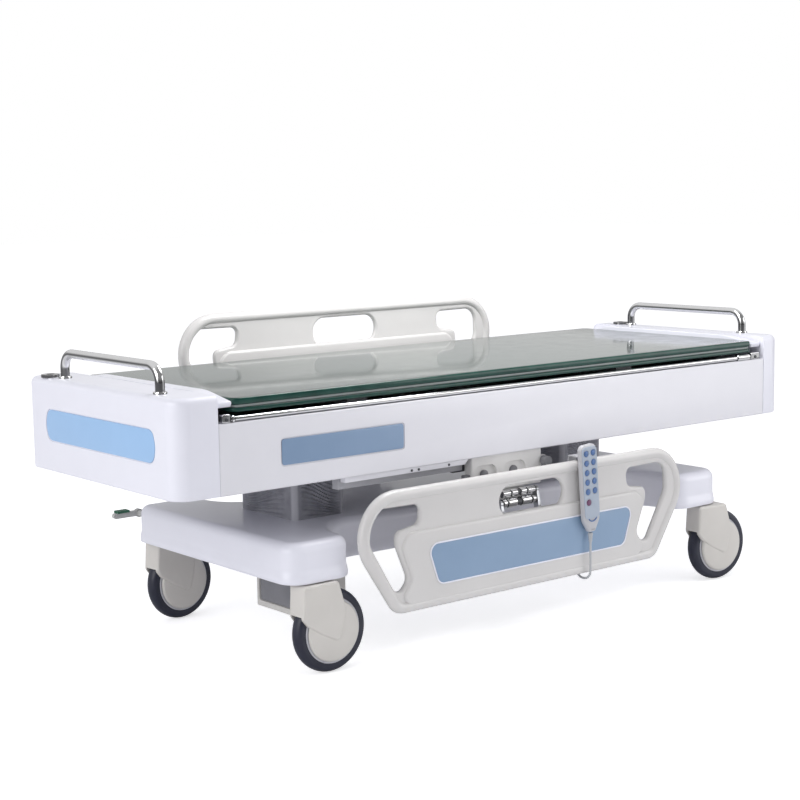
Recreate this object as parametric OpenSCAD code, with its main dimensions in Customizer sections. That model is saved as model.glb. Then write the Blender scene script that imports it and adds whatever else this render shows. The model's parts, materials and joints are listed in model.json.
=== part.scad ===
// Height-adjustable transfer stretcher on four castors. Two telescopic columns lift the
// deck, a belted board slides sideways off it, and a swing-down rail guards each long side.
// X runs along the deck, Y across it and Z up; the origin is on the floor below the middle
// of the whole object. Left is -X, near is -Y. The near rail is down, the far rail is up.

/* [Deck] */
// Length of the deck over both end shrouds
deck_length = 2047; // [2030:1:2070]
// Width of the deck over its side beams
deck_width = 683; // [680:1:686]
// Underside of the deck above the floor, fully lowered
deck_bottom = 454; // [452:1:458]
// Height of a side beam
beam_height = 162; // [160:1:164]
// Height of the end shrouds
shroud_height = 226; // [222:1:230]
// Length of the left shroud
left_shroud_length = 111; // [106:1:114]
// Length of the right shroud
right_shroud_length = 78; // [76:1:84]
// Plan radius of the shroud corners
shroud_corner_r = 24; // [20:1:30]
// Height of a blue end panel
end_panel_height = 74; // [60:1:80]
// Width of a blue end panel
end_panel_width = 516; // [480:1:540]
// Length of a blue side panel
side_panel_length = 354; // [300:1:400]
// Height of a blue side panel
side_panel_height = 61; // [50:1:80]

/* [Board] */
// Thickness of the board with its two belts
board_thickness = 32; // [30:1:34]
// Length of the belted part of the board
board_length = 1771; // [1765:1:1773]
// Width of the board
board_width = 672; // [640:1:678]
// Length of a white end moulding along the deck
board_end_length = 39; // [34:1:39]
// Diameter of a side roller
roller_d = 12.5; // [10:0.5:13]

/* [End fittings] */
// Diameter of a push-handle tube
handle_d = 22; // [20:1:25]
// Distance between the posts of a push handle
handle_span = 444; // [400:1:470]
// Height of a push-handle bar above the floor
handle_height = 741; // [735:1:760]
// Bore of a pole socket
socket_bore_d = 20; // [18:1:22]

/* [Base] */
// Underside of the base cover
base_bottom = 222; // [220:1:224]
// Top of the base cover
base_top = 318; // [316:1:320]
// Distance between the two cross feet
foot_spacing = 1303; // [1290:1:1310]
// Width of a cross foot
foot_width = 182; // [176:1:190]
// Length of a cross foot
foot_length = 692; // [686:1:700]
// Width of the long spine
spine_width = 362; // [350:1:380]

/* [Columns] */
// Size of a column tube along X
column_x = 120; // [110:1:130]
// Size of a column tube along Y
column_y = 180; // [160:1:186]
// Size of a bellows along X
bellows_x = 157; // [150:1:162]
// Size of a bellows along Y
bellows_y = 240; // [230:1:250]

/* [Castors] */
// Diameter of a castor wheel
wheel_d = 200; // [196:1:200]
// Width of a castor tyre
tyre_width = 35; // [30:1:36]
// Distance from a castor's swivel axis back to its axle
castor_trail = 56; // [50:1:60]
// Distance between the swivel axes across the base
castor_track = 658; // [650:1:660]

/* [Side rails] */
// Height of a side rail
rail_height = 301; // [290:1:305]
// Half length of a side rail along its top, where the side edges would meet it
rail_top_half = 643; // [630:1:650]
// Half length of a side rail along its bottom
rail_bottom_half = 448; // [430:1:460]
// Middle of a lowered side rail above the floor
rail_low_z = 268; // [262:1:272]
// Height that a side rail travels
rail_travel = 378; // [370:1:382]
// Distance from the deck's middle to a side rail's outer face
rail_face = 400; // [399:1:404]

/* [Handset] */
// Length of the handset
handset_length = 230; // [226:1:234]
// Width of the handset
handset_width = 60; // [58:1:70]
// Tilt of the hanging handset
handset_tilt = 4; // [0:1:6]

/* [Hidden] */
$fn = 64;

// Play between parts that turn in each other, and gap between parts that only meet.
running_gap = 0.05;
seam_gap = 0.5;
skin = 4;
eps = 1;

// Deck levels and ends.
end_x = deck_length / 2;
side_y = deck_width / 2;
left_seam = left_shroud_length - end_x;
right_seam = end_x - right_shroud_length;
beam_top = deck_bottom + beam_height;
shroud_top = deck_bottom + shroud_height;
beam_depth = 41;
frame_y = side_y - beam_depth - seam_gap;
frame_floor = 4;
frame_x = end_x - 12;
long_tube_top = deck_bottom + 44;
pan_z = beam_top - 16;
end_panel_z = deck_bottom + 114;
panel_recess = 2;
side_panel_x = -569;
side_panel_z = deck_bottom + 81;
sub_rail_x = [-562, -174];
sub_rail_bottom = deck_bottom - 34;

// Board levels. The belted part runs from the left moulding to the right one.
board_bottom = beam_top + 21;
board_top = board_bottom + board_thickness;
board_left = left_seam + 4.5 + board_end_length;
board_right = board_left + board_length;
core_z = board_bottom + 10;
core_thickness = 6;
core_inset = 4;
belt_edge_r = 5;
board_end_z = core_z + core_thickness / 2 - 1;
board_end_inset = 1;
roller_y = 333;
roller_z = beam_top + 7.5;
roller_x = [-866, 833];
roller_stub_r = 4;
roller_stub = 8;
boss_r = 10;

// End fittings.
left_handle_x = -985;
right_handle_x = 992;
handle_r = handle_d / 2;
handle_bend_r = 38;
handle_foot_z = pan_z;
collar_r = 16;
collar_h = 5;
socket_wall = 4;
socket_flange_r = 22.5;
socket_flange_h = 7;
socket_floor = 5;
sockets = [[-1000, 270], [986, 262]];

// Base. Its middle sits a little to the right of the deck's middle.
base_x = 10;
foot_x = [for (side = [-1, 1]) base_x + side * foot_spacing / 2];
foot_corner_r = 50;
spine_fillet_r = (foot_length - spine_width) / 2 - foot_corner_r;
flange_h = 14;
flange_lip = 4;
tube_z = [base_bottom + 18, base_bottom + 68];
foot_tube_half = 40;
foot_tube_y = foot_length / 2 - 10;
spine_tube = 40;
battery = [160, 165, 128];
battery_corner = [-600, -165];

// Columns, from the outer tube in.
columns = [-483, 429];
tube_wall = 3;
slide_gap = 1;
outer_tube_z = [232, 520];
middle_tube_z = [240, 530];
inner_tube_z = [250, pan_z];
bellows_wall = 11;
bellows_r = 18;

// Brake lever on the left foot's far end.
lever_x = -712;
lever_z = 289;
lever_r = 8;
lever_y = [270, foot_length / 2 + 36];
lever_bearing = 25;
lever_reach = 68;
lever_bar = 13;
pad_size = [34, 22, 6];

// Castors: swivel axes, resting swivel angles and shapes.
castor_x = [base_x - 684, base_x + 684];
wheel_r = wheel_d / 2;
rim_r = 78;
cover_r = 73;
spigot_r = 8;
spigot_top = 290;
axle_r = 8;
housing_top = base_bottom - 3;
housing_y = 29;
tyre_room = 3;

// Side rails. Two parallel arms carry each rail from fixed barrels on its bracket.
rail_x = -17.5;
rail_thickness = 30;
rail_top_r = 110;
rail_bottom_r = 45;
rail_back = rail_face - rail_thickness;
insert_proud = 2;
insert_recess = 4;
insert_outline = [[-354, 8], [354, 8], [320, -94], [-320, -94]];
insert_r = 20;
slot_half = [110, 38];
slot_z = 77;
slot_shift = -3;
opening_shift = -15;
opening_outline = [[-353, 108], [-505, 110], [-506, 30], [-425, -108], [-393, -70],
                   [-430, 20], [-426, 50], [-357, 60]];
opening_radii = [18, 38, 40, 18, 25, 60, 18, 20];
pivot_y = 335;
upper_pivot_z = deck_bottom - 104;
lower_pivot_z = upper_pivot_z - 25;
arm_out = 37;
arm_half_width = 9;
upper_arm_x = [39, 47];
lower_arm_x = [-84, -76];
pin_r = 6;
open_pin_gap = 1;
barrel_x = [-74, 37];
upper_barrel_r = 10;
lower_barrel_r = 13;
lug_x = [-70, 35];
lug_y = [rail_back - 8, rail_back + 14];
pocket_x = [-95, 60];
pocket_top = 120;
bracket_x = [-164, 75];
bracket_y = [296, 325];
bracket_bottom = upper_pivot_z + 11;
hollow_x = [-118, -18];
hollow_size = [76, 44];
hollow_depth = 8;
knob_x = 80;
knob_z = 419;
knob_r = 12.5;
knob_stem_r = 4;

// Handset, hooked over the lowered near rail.
handset_x = 157;
handset_z = 347;
handset_back = rail_face + 3.5;
handset_depth = 22;
handset_face = handset_back + handset_depth;
keypad_lift = 1;
button_lift = 2.5;
button_r = 8;
button_pitch = [25, 25];
button_hole_r = button_r + 0.4;
button_depth = 5;
power_at = [-11, -35];
first_row_z = 93;
handset_chin = 31;
handset_tip = 11;
hook_half = 14;
hook_reach = handset_back - rail_back + 7;
hook_top = 12;
hook_t = 4;
cable_r = 3;
cable_y = [rail_back - 10, handset_back + 8];
cable_bottom = 130;
relief_r = 6;

// The whole object is moved sideways so that its width is centred on the origin.
handset_out = handset_face + button_lift;
rail_out = rail_face + insert_proud;
shift_y = (handset_out - rail_out) / 2;

// ---- Shared helpers ----

module centred() {
    translate([0, shift_y, 0]) children();
}

// Extrudes a (Y, Z) sketch along X from x[0] to x[1].
module along_x(x) {
    translate([x[0], 0, 0])
        rotate([90, 0, 90])
            linear_extrude(x[1] - x[0]) children();
}

// Extrudes an (X, Z) sketch along Y from y[0] to y[1].
module along_y(y) {
    translate([0, y[1], 0])
        rotate([90, 0, 0])
            linear_extrude(y[1] - y[0]) children();
}

// Extrudes an (X, Y) sketch along Z from z[0] to z[1].
module along_z(z) {
    translate([0, 0, z[0]]) linear_extrude(z[1] - z[0]) children();
}

// A box between two limits on each axis.
module box(x, y, z) {
    translate([x[0], y[0], z[0]]) cube([x[1] - x[0], y[1] - y[0], z[1] - z[0]]);
}

// Square tubes along X and along Y, open at both ends.
module tube_x(x, y, z) {
    difference() {
        box(x, y, z);
        box([x[0] - eps, x[1] + eps], [y[0] + tube_wall, y[1] - tube_wall], [z[0] + tube_wall, z[1] - tube_wall]);
    }
}

module tube_y(x, y, z) {
    difference() {
        box(x, y, z);
        box([x[0] + tube_wall, x[1] - tube_wall], [y[0] - eps, y[1] + eps], [z[0] + tube_wall, z[1] - tube_wall]);
    }
}

module rod_x(x, y, z, r) {
    translate([x[0], y, z]) rotate([0, 90, 0]) cylinder(h = x[1] - x[0], r = r);
}

module rod_y(x, y, z, r) {
    translate([x, y[1], z]) rotate([90, 0, 0]) cylinder(h = y[1] - y[0], r = r);
}

module rod_z(x, y, z, r) {
    translate([x, y, z[0]]) cylinder(h = z[1] - z[0], r = r);
}

module both_sides() {
    children();
    mirror([0, 1, 0]) children();
}

// Places a lowered near-side part, or its raised far-side mirror image.
module rail_side(far) {
    if (far) mirror([0, 1, 0]) translate([0, 0, rail_travel]) children();
    else children();
}

// A rectangle centred on the origin, with rounded corners.
module rounded_rect(size, r) {
    square([size[0] - 2 * r, size[1]], center = true);
    square([size[0], size[1] - 2 * r], center = true);
    for (x = [-1, 1], y = [-1, 1])
        translate([x * (size[0] / 2 - r), y * (size[1] / 2 - r)]) circle(r);
}

function unit(v) = v / norm(v);

// The arc that rounds corner b, between its neighbours a and c, to radius r.
function corner_arc(a, b, c, r, steps = 10) =
    let (to_a = unit(a - b), to_c = unit(c - b), half = acos(to_a * to_c) / 2,
         centre = b + unit(to_a + to_c) * r / sin(half),
         from = b + to_a * r / tan(half) - centre,
         to = b + to_c * r / tan(half) - centre,
         start = atan2(from[1], from[0]),
         turn = atan2(from[0] * to[1] - from[1] * to[0], from * to))
    [for (i = [0:steps]) centre + r * [cos(start + turn * i / steps), sin(start + turn * i / steps)]];

// An outline with each corner rounded to its own radius.
function rounded(points, radii) =
    let (n = len(points))
    [for (i = [0:n - 1])
        each corner_arc(points[(i + n - 1) % n], points[i], points[(i + 1) % n], radii[i])];

// ---- Base ----

// Plan of the base: two cross feet and the spine between them, drawn in by inset.
module base_plan(inset) {
    for (x = foot_x)
        translate([x, 0])
            rounded_rect([foot_width - 2 * inset, foot_length - 2 * inset], foot_corner_r - inset);
    translate([foot_x[0], -spine_width / 2 + inset])
        square([foot_spacing, spine_width - 2 * inset]);
    for (i = [0, 1], side = [-1, 1]) {
        fillet = spine_fillet_r + inset;
        towards = i == 0 ? 1 : -1;
        translate([foot_x[i] + towards * (foot_width / 2 - inset), side * (spine_width / 2 - inset)])
            difference() {
                translate([towards > 0 ? -eps : -fillet, side > 0 ? -eps : -fillet])
                    square(fillet + eps);
                translate([towards * fillet, side * fillet]) circle(fillet);
            }
    }
}

module base_cover() {
    color("lavender") centred() difference() {
        union() {
            along_z([base_bottom, base_bottom + flange_h]) base_plan(-flange_lip);
            along_z([base_bottom, base_top]) base_plan(0);
        }
        along_z([base_bottom - eps, base_top - skin]) base_plan(skin);
        for (x = columns)
            translate([x, 0, base_top - skin - eps])
                linear_extrude(skin + 2 * eps)
                    square([column_x + 2, column_y + 2], center = true);
        rod_y(lever_x, [foot_length / 2 - foot_corner_r, foot_length / 2 + eps], lever_z, lever_r + eps);
    }
}

// One telescopic tube of a column, drawn in by inset on every side.
module column_tube(z, inset) {
    size = [column_x - 2 * inset, column_y - 2 * inset];
    for (x = columns)
        translate([x, 0, z[0]])
            linear_extrude(z[1] - z[0])
                difference() {
                    square(size, center = true);
                    square(size - 2 * [tube_wall, tube_wall], center = true);
                }
}

module base_frame() {
    socket_r = spigot_r + running_gap;
    color("dimgray") centred() difference() {
        union() {
            for (x = foot_x)
                tube_y([x - foot_tube_half, x + foot_tube_half], [-foot_tube_y, foot_tube_y], tube_z);
            for (side = [-1, 1], y = side * (column_y + spine_tube) / 2)
                tube_x(foot_x, [y - spine_tube / 2, y + spine_tube / 2], tube_z);
            box([lever_x - 13, foot_x[0]], [lever_y[0], lever_y[0] + lever_bearing], [lever_z - 16, lever_z + 16]);
            for (x = castor_x, side = [-1, 1])
                rod_z(x, side * castor_track / 2, [tube_z[0] - 12, spigot_top + 8], spigot_r + 4);
            column_tube(outer_tube_z, 0);
        }
        for (x = castor_x, side = [-1, 1])
            rod_z(x, side * castor_track / 2, [tube_z[0] - 12 - eps, spigot_top + 3], socket_r);
        rod_y(lever_x, [lever_y[0] - eps, lever_y[0] + lever_bearing + eps], lever_z, lever_r + running_gap);
    }
}

module battery_box() {
    hanger_y = [-column_y / 2 - spine_tube, -column_y / 2];
    color("tan") centred() {
        translate([battery_corner[0], battery_corner[1], base_bottom - battery[2]]) cube(battery);
        box([battery_corner[0] + 10, battery_corner[0] + battery[0] - 10], hanger_y,
            [base_bottom - eps, tube_z[0]]);
    }
}

module brake_lever() {
    color("gray") centred() {
        rod_y(lever_x, [lever_y[0], lever_y[1] - 1], lever_z, lever_r);
        along_y([lever_y[1] - lever_bar, lever_y[1]]) {
            translate([lever_x, lever_z]) circle(lever_r + 3);
            translate([lever_x - lever_reach, lever_z]) circle(lever_r - 1);
            translate([lever_x - lever_reach, lever_z - lever_r + 1]) square([lever_reach, 2 * lever_r - 2]);
        }
    }
}

module pedal_pad() {
    color("seagreen") centred()
        translate([lever_x - lever_reach + 2, lever_y[1] - pad_size[1] + 4, lever_z + lever_r - 1])
            cube(pad_size);
}

// ---- Castors ----

// Places a castor at its corner: ix and side pick the corner, yaw is its resting swivel.
module castor_at(ix, side, yaw) {
    centred()
        translate([castor_x[ix], side * castor_track / 2, 0])
            rotate([0, 0, yaw]) children();
}

// Side outline of the housing, which merges into the round cover over the axle.
module housing_outline() {
    translate([castor_trail, wheel_r]) circle(cover_r);
    polygon(rounded([[-30, housing_top], [69, housing_top], [92, 150], [60, 90], [10, 95], [-38, 140]],
                    [8, 8, 20, 10, 20, 12]));
}

module castor_housing(ix, side, yaw) {
    color("antiquewhite") castor_at(ix, side, yaw) difference() {
        union() {
            difference() {
                along_y([-housing_y, housing_y]) housing_outline();
                along_y([-tyre_width / 2 - 2, tyre_width / 2 + 2])
                    translate([castor_trail, wheel_r]) circle(wheel_r + tyre_room);
            }
            rod_z(0, 0, [housing_top - 8, spigot_top], spigot_r);
        }
        rod_y(castor_trail, [-housing_y - eps, housing_y + eps], wheel_r, axle_r + running_gap);
    }
}

module castor_hub(ix, side, yaw) {
    color("white") castor_at(ix, side, yaw) {
        rod_y(castor_trail, [-housing_y, housing_y], wheel_r, axle_r);
        rod_y(castor_trail, [-tyre_width / 2 + 1, tyre_width / 2 - 1], wheel_r, rim_r);
    }
}

module castor_tyre(ix, side, yaw) {
    crown_r = 30;
    color("midnightblue") castor_at(ix, side, yaw)
        translate([castor_trail, 0, wheel_r])
            rotate([90, 0, 0])
                rotate_extrude($fn = 96)
                    intersection() {
                        translate([rim_r + running_gap, -tyre_width / 2])
                            square([wheel_r - rim_r - running_gap, tyre_width]);
                        translate([wheel_r - crown_r, 0]) circle(crown_r);
                    }
}

// ---- Lifting columns ----

module column_middle_tubes() {
    color("silver") centred() column_tube(middle_tube_z, tube_wall + slide_gap);
}

module column_inner_tubes() {
    color("silver") centred() column_tube(inner_tube_z, 2 * (tube_wall + slide_gap));
}

module column_bellows() {
    color("dimgray") centred()
        for (x = columns)
            translate([x, 0, base_top])
                linear_extrude(deck_bottom - base_top)
                    difference() {
                        rounded_rect([bellows_x, bellows_y], bellows_r);
                        square([bellows_x - 2 * bellows_wall, bellows_y - 2 * bellows_wall], center = true);
                    }
}

// ---- Deck ----

module deck_frame() {
    inner_x = [left_seam + 8, right_seam - 8];
    color("gainsboro") centred() difference() {
        union() {
            box(inner_x, [-frame_y, frame_y], [deck_bottom, deck_bottom + frame_floor]);
            box(inner_x, [-frame_y, frame_y], [pan_z, pan_z + frame_floor]);
            both_sides() tube_x([-frame_x, frame_x], [frame_y - 40, frame_y], [deck_bottom, long_tube_top]);
            both_sides() box(inner_x, [frame_y - 4, frame_y], [deck_bottom, pan_z + frame_floor]);
            both_sides() box(sub_rail_x, [frame_y - 20, frame_y], [sub_rail_bottom, deck_bottom + 1]);
            tube_y([-frame_x, left_handle_x + 20], [-frame_y, frame_y], [long_tube_top - tube_wall, pan_z]);
            tube_y([right_handle_x - 20, frame_x], [-frame_y, frame_y], [long_tube_top - tube_wall, pan_z]);
            for (x = columns)
                box([x - 30, x + 30], [-frame_y + 20, frame_y - 20], [pan_z + 2, board_bottom - 1]);
        }
        for (x = columns)
            translate([x, 0, deck_bottom - eps])
                linear_extrude(frame_floor + 2 * eps)
                    square([column_x + 2, column_y + 2], center = true);
    }
}

// Plan of the deck between x[0] and x[1], with rounded corners and drawn in by inset.
module deck_plan(x, inset) {
    intersection() {
        rounded_rect([2 * (end_x - inset), 2 * (side_y - inset)], shroud_corner_r - inset);
        translate([x[0], -side_y]) square([x[1] - x[0], 2 * side_y]);
    }
}

// An end cover between x[0] and x[1], at the end that outer gives as -1 or 1. Its cavity
// opens below and, under the level of the side beams, towards the deck.
module shroud(x, outer, handle_x) {
    wall = outer > 0 ? [x[0] + skin, x[1]] : [x[0], x[1] - skin];
    face = outer * end_x;
    recess = [min(face - outer * panel_recess, face + outer), max(face - outer * panel_recess, face + outer)];
    lid = [shroud_top - skin - eps, shroud_top + eps];
    difference() {
        along_z([deck_bottom, shroud_top]) deck_plan(x, 0);
        along_z([deck_bottom - eps, beam_top]) deck_plan([x[0] - eps, x[1] + eps], skin);
        along_z([deck_bottom - eps, shroud_top - skin]) deck_plan(wall, skin);
        along_x(recess) translate([0, end_panel_z]) end_panel_outline(seam_gap);
        for (side = [-1, 1])
            rod_z(handle_x, side * handle_span / 2, lid, handle_r + seam_gap);
        for (at = sockets)
            if (sign(at[0]) == outer)
                rod_z(at[0], at[1], lid, socket_bore_d / 2 + socket_wall + seam_gap);
    }
}

module left_shroud() {
    color("lavender") centred() shroud([-end_x, left_seam], -1, left_handle_x);
}

module right_shroud() {
    color("lavender") centred() shroud([right_seam, end_x], 1, right_handle_x);
}

module side_beams() {
    color("gainsboro") centred() both_sides() difference() {
        box([left_seam + seam_gap, right_seam - seam_gap], [side_y - beam_depth, side_y], [deck_bottom, beam_top]);
        box([left_seam - eps, right_seam + eps], [side_y - beam_depth - eps, side_y - 2 * skin],
            [deck_bottom + skin, beam_top - skin]);
        along_y([side_y - panel_recess, side_y + eps])
            translate([side_panel_x, side_panel_z])
                rounded_rect([side_panel_length + 1, side_panel_height + 1], 8);
    }
}

// A wide panel with bowed ends.
module end_panel_outline(grow) {
    half = end_panel_width / 2;
    bow_r = end_panel_height;
    straight = half - bow_r * (1 - cos(30)) + grow;
    intersection() {
        square([2 * half + 2 * grow, end_panel_height + 2 * grow], center = true);
        union() {
            square([2 * straight, end_panel_height + 2 * grow], center = true);
            for (side = [-1, 1])
                translate([side * (half - bow_r), 0]) circle(bow_r + grow);
        }
    }
}

module end_panels() {
    color("lightskyblue") centred()
        for (face = [[-end_x, -end_x + panel_recess], [end_x - panel_recess, end_x]])
            along_x(face) translate([0, end_panel_z]) end_panel_outline(0);
}

module side_panels() {
    color("steelblue") centred() both_sides()
        along_y([side_y - panel_recess, side_y + seam_gap])
            translate([side_panel_x, side_panel_z])
                rounded_rect([side_panel_length, side_panel_height], 8);
}

// One push handle: two posts, two bends and a bar, with a collar at each foot.
module push_handle(x) {
    reach = handle_span / 2 - handle_bend_r;
    translate([x, 0, 0]) {
        rotate([0, 0, 90]) rod_x([-reach, reach], 0, handle_height, handle_r);
        both_sides() {
            rod_z(0, handle_span / 2, [handle_foot_z, handle_height - handle_bend_r], handle_r);
            rod_z(0, handle_span / 2, [shroud_top, shroud_top + collar_h], collar_r);
            translate([0, reach, handle_height - handle_bend_r])
                rotate([90, 0, 90])
                    rotate_extrude(angle = 90) translate([handle_bend_r, 0]) circle(handle_r);
        }
    }
}

module push_handles() {
    color("silver") centred()
        for (x = [left_handle_x, right_handle_x]) push_handle(x);
}

module pole_sockets() {
    bore_r = socket_bore_d / 2;
    color("silver") centred()
        for (at = sockets)
            difference() {
                union() {
                    rod_z(at[0], at[1], [pan_z, shroud_top + eps], bore_r + socket_wall);
                    rod_z(at[0], at[1], [shroud_top, shroud_top + socket_flange_h], socket_flange_r);
                }
                rod_z(at[0], at[1], [pan_z + socket_floor, shroud_top + socket_flange_h + eps], bore_r);
            }
}

module roller_brackets() {
    left = [[roller_x[0] - 35, roller_x[0] - 7], [roller_x[0] - 8, roller_x[0]]];
    right = [[roller_x[1] + 54, roller_x[1] + 95], [roller_x[1], roller_x[1] + 55]];
    block_y = [roller_y - boss_r, side_y - eps];
    block_z = [beam_top, board_bottom - 1];
    color("silver") centred() both_sides() for (end = [left, right])
        difference() {
            union() {
                box(end[0], block_y, block_z);
                intersection() {
                    rod_x(end[1], roller_y, roller_z, boss_r);
                    box(end[1], [0, side_y], block_z);
                }
            }
            rod_x([end[1][0] - eps, end[1][1] + eps], roller_y, roller_z, roller_stub_r + running_gap);
        }
}

module side_roller(side) {
    y = side * roller_y;
    color("silver") centred() {
        rod_x([roller_x[0] + seam_gap, roller_x[1] - seam_gap], y, roller_z, roller_d / 2);
        rod_x([roller_x[0] - roller_stub, roller_x[1] + roller_stub], y, roller_z, roller_stub_r);
    }
}

module near_roller() {
    side_roller(-1);
}

module far_roller() {
    side_roller(1);
}

// ---- Sliding board ----

// A slab of the board between two heights, with its long edges rounded.
module board_slab(z, inset) {
    half = board_width / 2 - inset;
    along_x([board_left, board_right])
        translate([0, (z[0] + z[1]) / 2])
            rounded_rect([2 * half, z[1] - z[0]], min(belt_edge_r, (z[1] - z[0]) / 2 - 0.1));
}

module board_core() {
    color("lightgray") centred() board_slab([core_z, core_z + core_thickness], core_inset);
}

module board_belts() {
    color("darkslategray") centred() {
        board_slab([core_z + core_thickness, board_top], 0);
        board_slab([board_bottom, core_z], 0);
    }
}

// Cross-section of an end moulding: flat in the middle, falling towards both long sides.
module board_end_outline() {
    half = board_width / 2 - board_end_inset;
    tip_z = shroud_top - 18;
    bend_y = 232;
    polygon(rounded(
        [[-bend_y, shroud_top], [bend_y, shroud_top], [half, tip_z],
         [half - 6, board_end_z], [6 - half, board_end_z], [-half, tip_z]],
        [250, 250, 4, 5, 5, 4]));
}

module board_ends() {
    color("white") centred()
        for (x = [[board_left - board_end_length, board_left], [board_right, board_right + board_end_length]])
            along_x(x) board_end_outline();
}

// ---- Side rails ----

module rail_outline() {
    half = rail_height / 2;
    polygon(rounded(
        [[-rail_top_half, half], [rail_top_half, half], [rail_bottom_half, -half], [-rail_bottom_half, -half]],
        [rail_top_r, rail_top_r, rail_bottom_r, rail_bottom_r]));
}

module side_opening() {
    polygon(rounded(opening_outline, opening_radii));
}

module insert_panel_outline(r) {
    polygon(rounded(insert_outline, [r, r, r, r]));
}

// Height of a rail pivot on the lowered rail, below its fixed barrel.
function low_pivot(fixed_z) = fixed_z - rail_travel / 2;

// The moulded rail, lowered on the near side, with its hinge lug and back pocket.
module rail() {
    at = [rail_x, rail_low_z];
    bottom = rail_low_z - rail_height / 2;
    difference() {
        union() {
            difference() {
                along_y([-rail_face, -rail_back]) translate(at) difference() {
                    rail_outline();
                    translate([opening_shift, 0]) side_opening();
                    translate([opening_shift, 0]) mirror([1, 0]) side_opening();
                    translate([slot_shift, slot_z]) rounded_rect(2 * slot_half, slot_half[1] - 1);
                }
                along_y([-rail_face - eps, -rail_face + insert_recess])
                    translate(at) insert_panel_outline(insert_r);
                box(pocket_x, [-rail_back - 14, -rail_back + eps], [bottom - eps, bottom + pocket_top]);
            }
            box(lug_x, [-lug_y[1] - eps, -lug_y[0]], [low_pivot(lower_pivot_z) - 12, low_pivot(upper_pivot_z) + 12]);
        }
        rod_x([lug_x[0] - eps, lug_x[1] + eps], -pivot_y - arm_out, low_pivot(upper_pivot_z), pin_r + running_gap);
        rod_x([lug_x[0] - eps, lug_x[1] + eps], -pivot_y - arm_out, low_pivot(lower_pivot_z), pin_r + open_pin_gap);
    }
}

module near_rail() {
    color("antiquewhite") centred() rail_side(false) rail();
}

module far_rail() {
    color("antiquewhite") centred() rail_side(true) rail();
}

module rail_insert() {
    along_y([-rail_face - insert_proud, -rail_face + insert_recess])
        translate([rail_x, rail_low_z])
            scale(0.999) insert_panel_outline(insert_r);
}

module near_rail_insert() {
    color("steelblue") centred() rail_side(false) rail_insert();
}

module far_rail_insert() {
    color("steelblue") centred() rail_side(true) rail_insert();
}

// An arm on the near side from its barrel to the rail; up is 1 raised or -1 lowered.
// The pins leave the arm's inner face towards the barrel and the rail's lug.
module arm(x, fixed_z, up) {
    rise = up * rail_travel / 2;
    into = x[0] > 0 ? [-20, x[1] - eps] : [x[0] + eps, -20];
    rod_x(into, -pivot_y, fixed_z, pin_r);
    rod_x(into, -pivot_y - arm_out, fixed_z + rise, pin_r);
    along_x(x) translate([-pivot_y, fixed_z]) {
        circle(arm_half_width + 1);
        translate([-arm_out, rise]) circle(arm_half_width);
        rotate(atan2(rise, -arm_out))
            translate([0, -arm_half_width])
                square([norm([arm_out, rise]), 2 * arm_half_width]);
    }
}

module near_upper_arm() {
    color("silver") centred() arm(upper_arm_x, upper_pivot_z, -1);
}

module near_lower_arm() {
    color("silver") centred() arm(lower_arm_x, lower_pivot_z, -1);
}

module far_upper_arm() {
    color("silver") centred() mirror([0, 1, 0]) arm(upper_arm_x, upper_pivot_z, 1);
}

module far_lower_arm() {
    color("silver") centred() mirror([0, 1, 0]) arm(lower_arm_x, lower_pivot_z, 1);
}

// The barrels that the arms turn in, one above the other on each bracket.
module rail_barrels() {
    color("silver") centred() both_sides()
        for (barrel = [[upper_pivot_z, upper_barrel_r], [lower_pivot_z, lower_barrel_r]])
            difference() {
                rod_x(barrel_x, -pivot_y, barrel[0], barrel[1]);
                rod_x([barrel_x[0] - eps, barrel_x[1] + eps], -pivot_y, barrel[0], pin_r + running_gap);
            }
}

// The cast bracket below the deck: a body with oval hollows, a saddle that holds the
// barrels, and an ear for the latch knob.
module rail_brackets() {
    top = deck_bottom;
    saddle_x = [barrel_x[0] + 4, barrel_x[1] - 4];
    color("antiquewhite") centred() both_sides() difference() {
        union() {
            box(bracket_x, [-bracket_y[1], -bracket_y[0]], [bracket_bottom, top]);
            box([bracket_x[1] - eps, knob_x + knob_r], [-bracket_y[1], -bracket_y[0]],
                [knob_z - knob_r, knob_z + knob_r]);
            box(saddle_x, [-pivot_y + 2, -bracket_y[0]], [lower_pivot_z - lower_barrel_r, bracket_bottom + eps]);
        }
        for (barrel = [[upper_pivot_z, upper_barrel_r], [lower_pivot_z, lower_barrel_r]])
            rod_x([barrel_x[0] - eps, barrel_x[1] + eps], -pivot_y, barrel[0], barrel[1] + running_gap);
        for (x = hollow_x)
            along_y([-bracket_y[1] - eps, -bracket_y[1] + hollow_depth])
                translate([x, (bracket_bottom + top) / 2]) rounded_rect(hollow_size, hollow_size[1] / 2 - 1);
        rod_y(knob_x, [-bracket_y[1] - eps, -bracket_y[0] + eps], knob_z, knob_stem_r + running_gap);
    }
}

module latch_knob() {
    face = -bracket_y[1] - 2;
    rod_y(knob_x, [face - 20, face], knob_z, knob_r);
    rod_y(knob_x, [face - eps, -bracket_y[0]], knob_z, knob_stem_r);
}

module near_latch_knob() {
    color("dimgray") centred() latch_knob();
}

module far_latch_knob() {
    color("dimgray") centred() mirror([0, 1, 0]) latch_knob();
}

// ---- Handset ----

// Places a part at the handset's middle, with its tilt. Depth 0 is the back of the case.
module at_handset() {
    centred()
        translate([handset_x, -handset_back, handset_z])
            rotate([0, -handset_tilt, 0]) children();
}

// Places children at button i of ten, counted in rows from the top.
function button_at(i) =
    [(i % 2 - 0.5) * button_pitch[0], first_row_z - floor(i / 2) * button_pitch[1]];

module button_holes() {
    for (i = [0:9]) translate(button_at(i)) circle(button_hole_r);
    translate(power_at) circle(button_hole_r);
}

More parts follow.
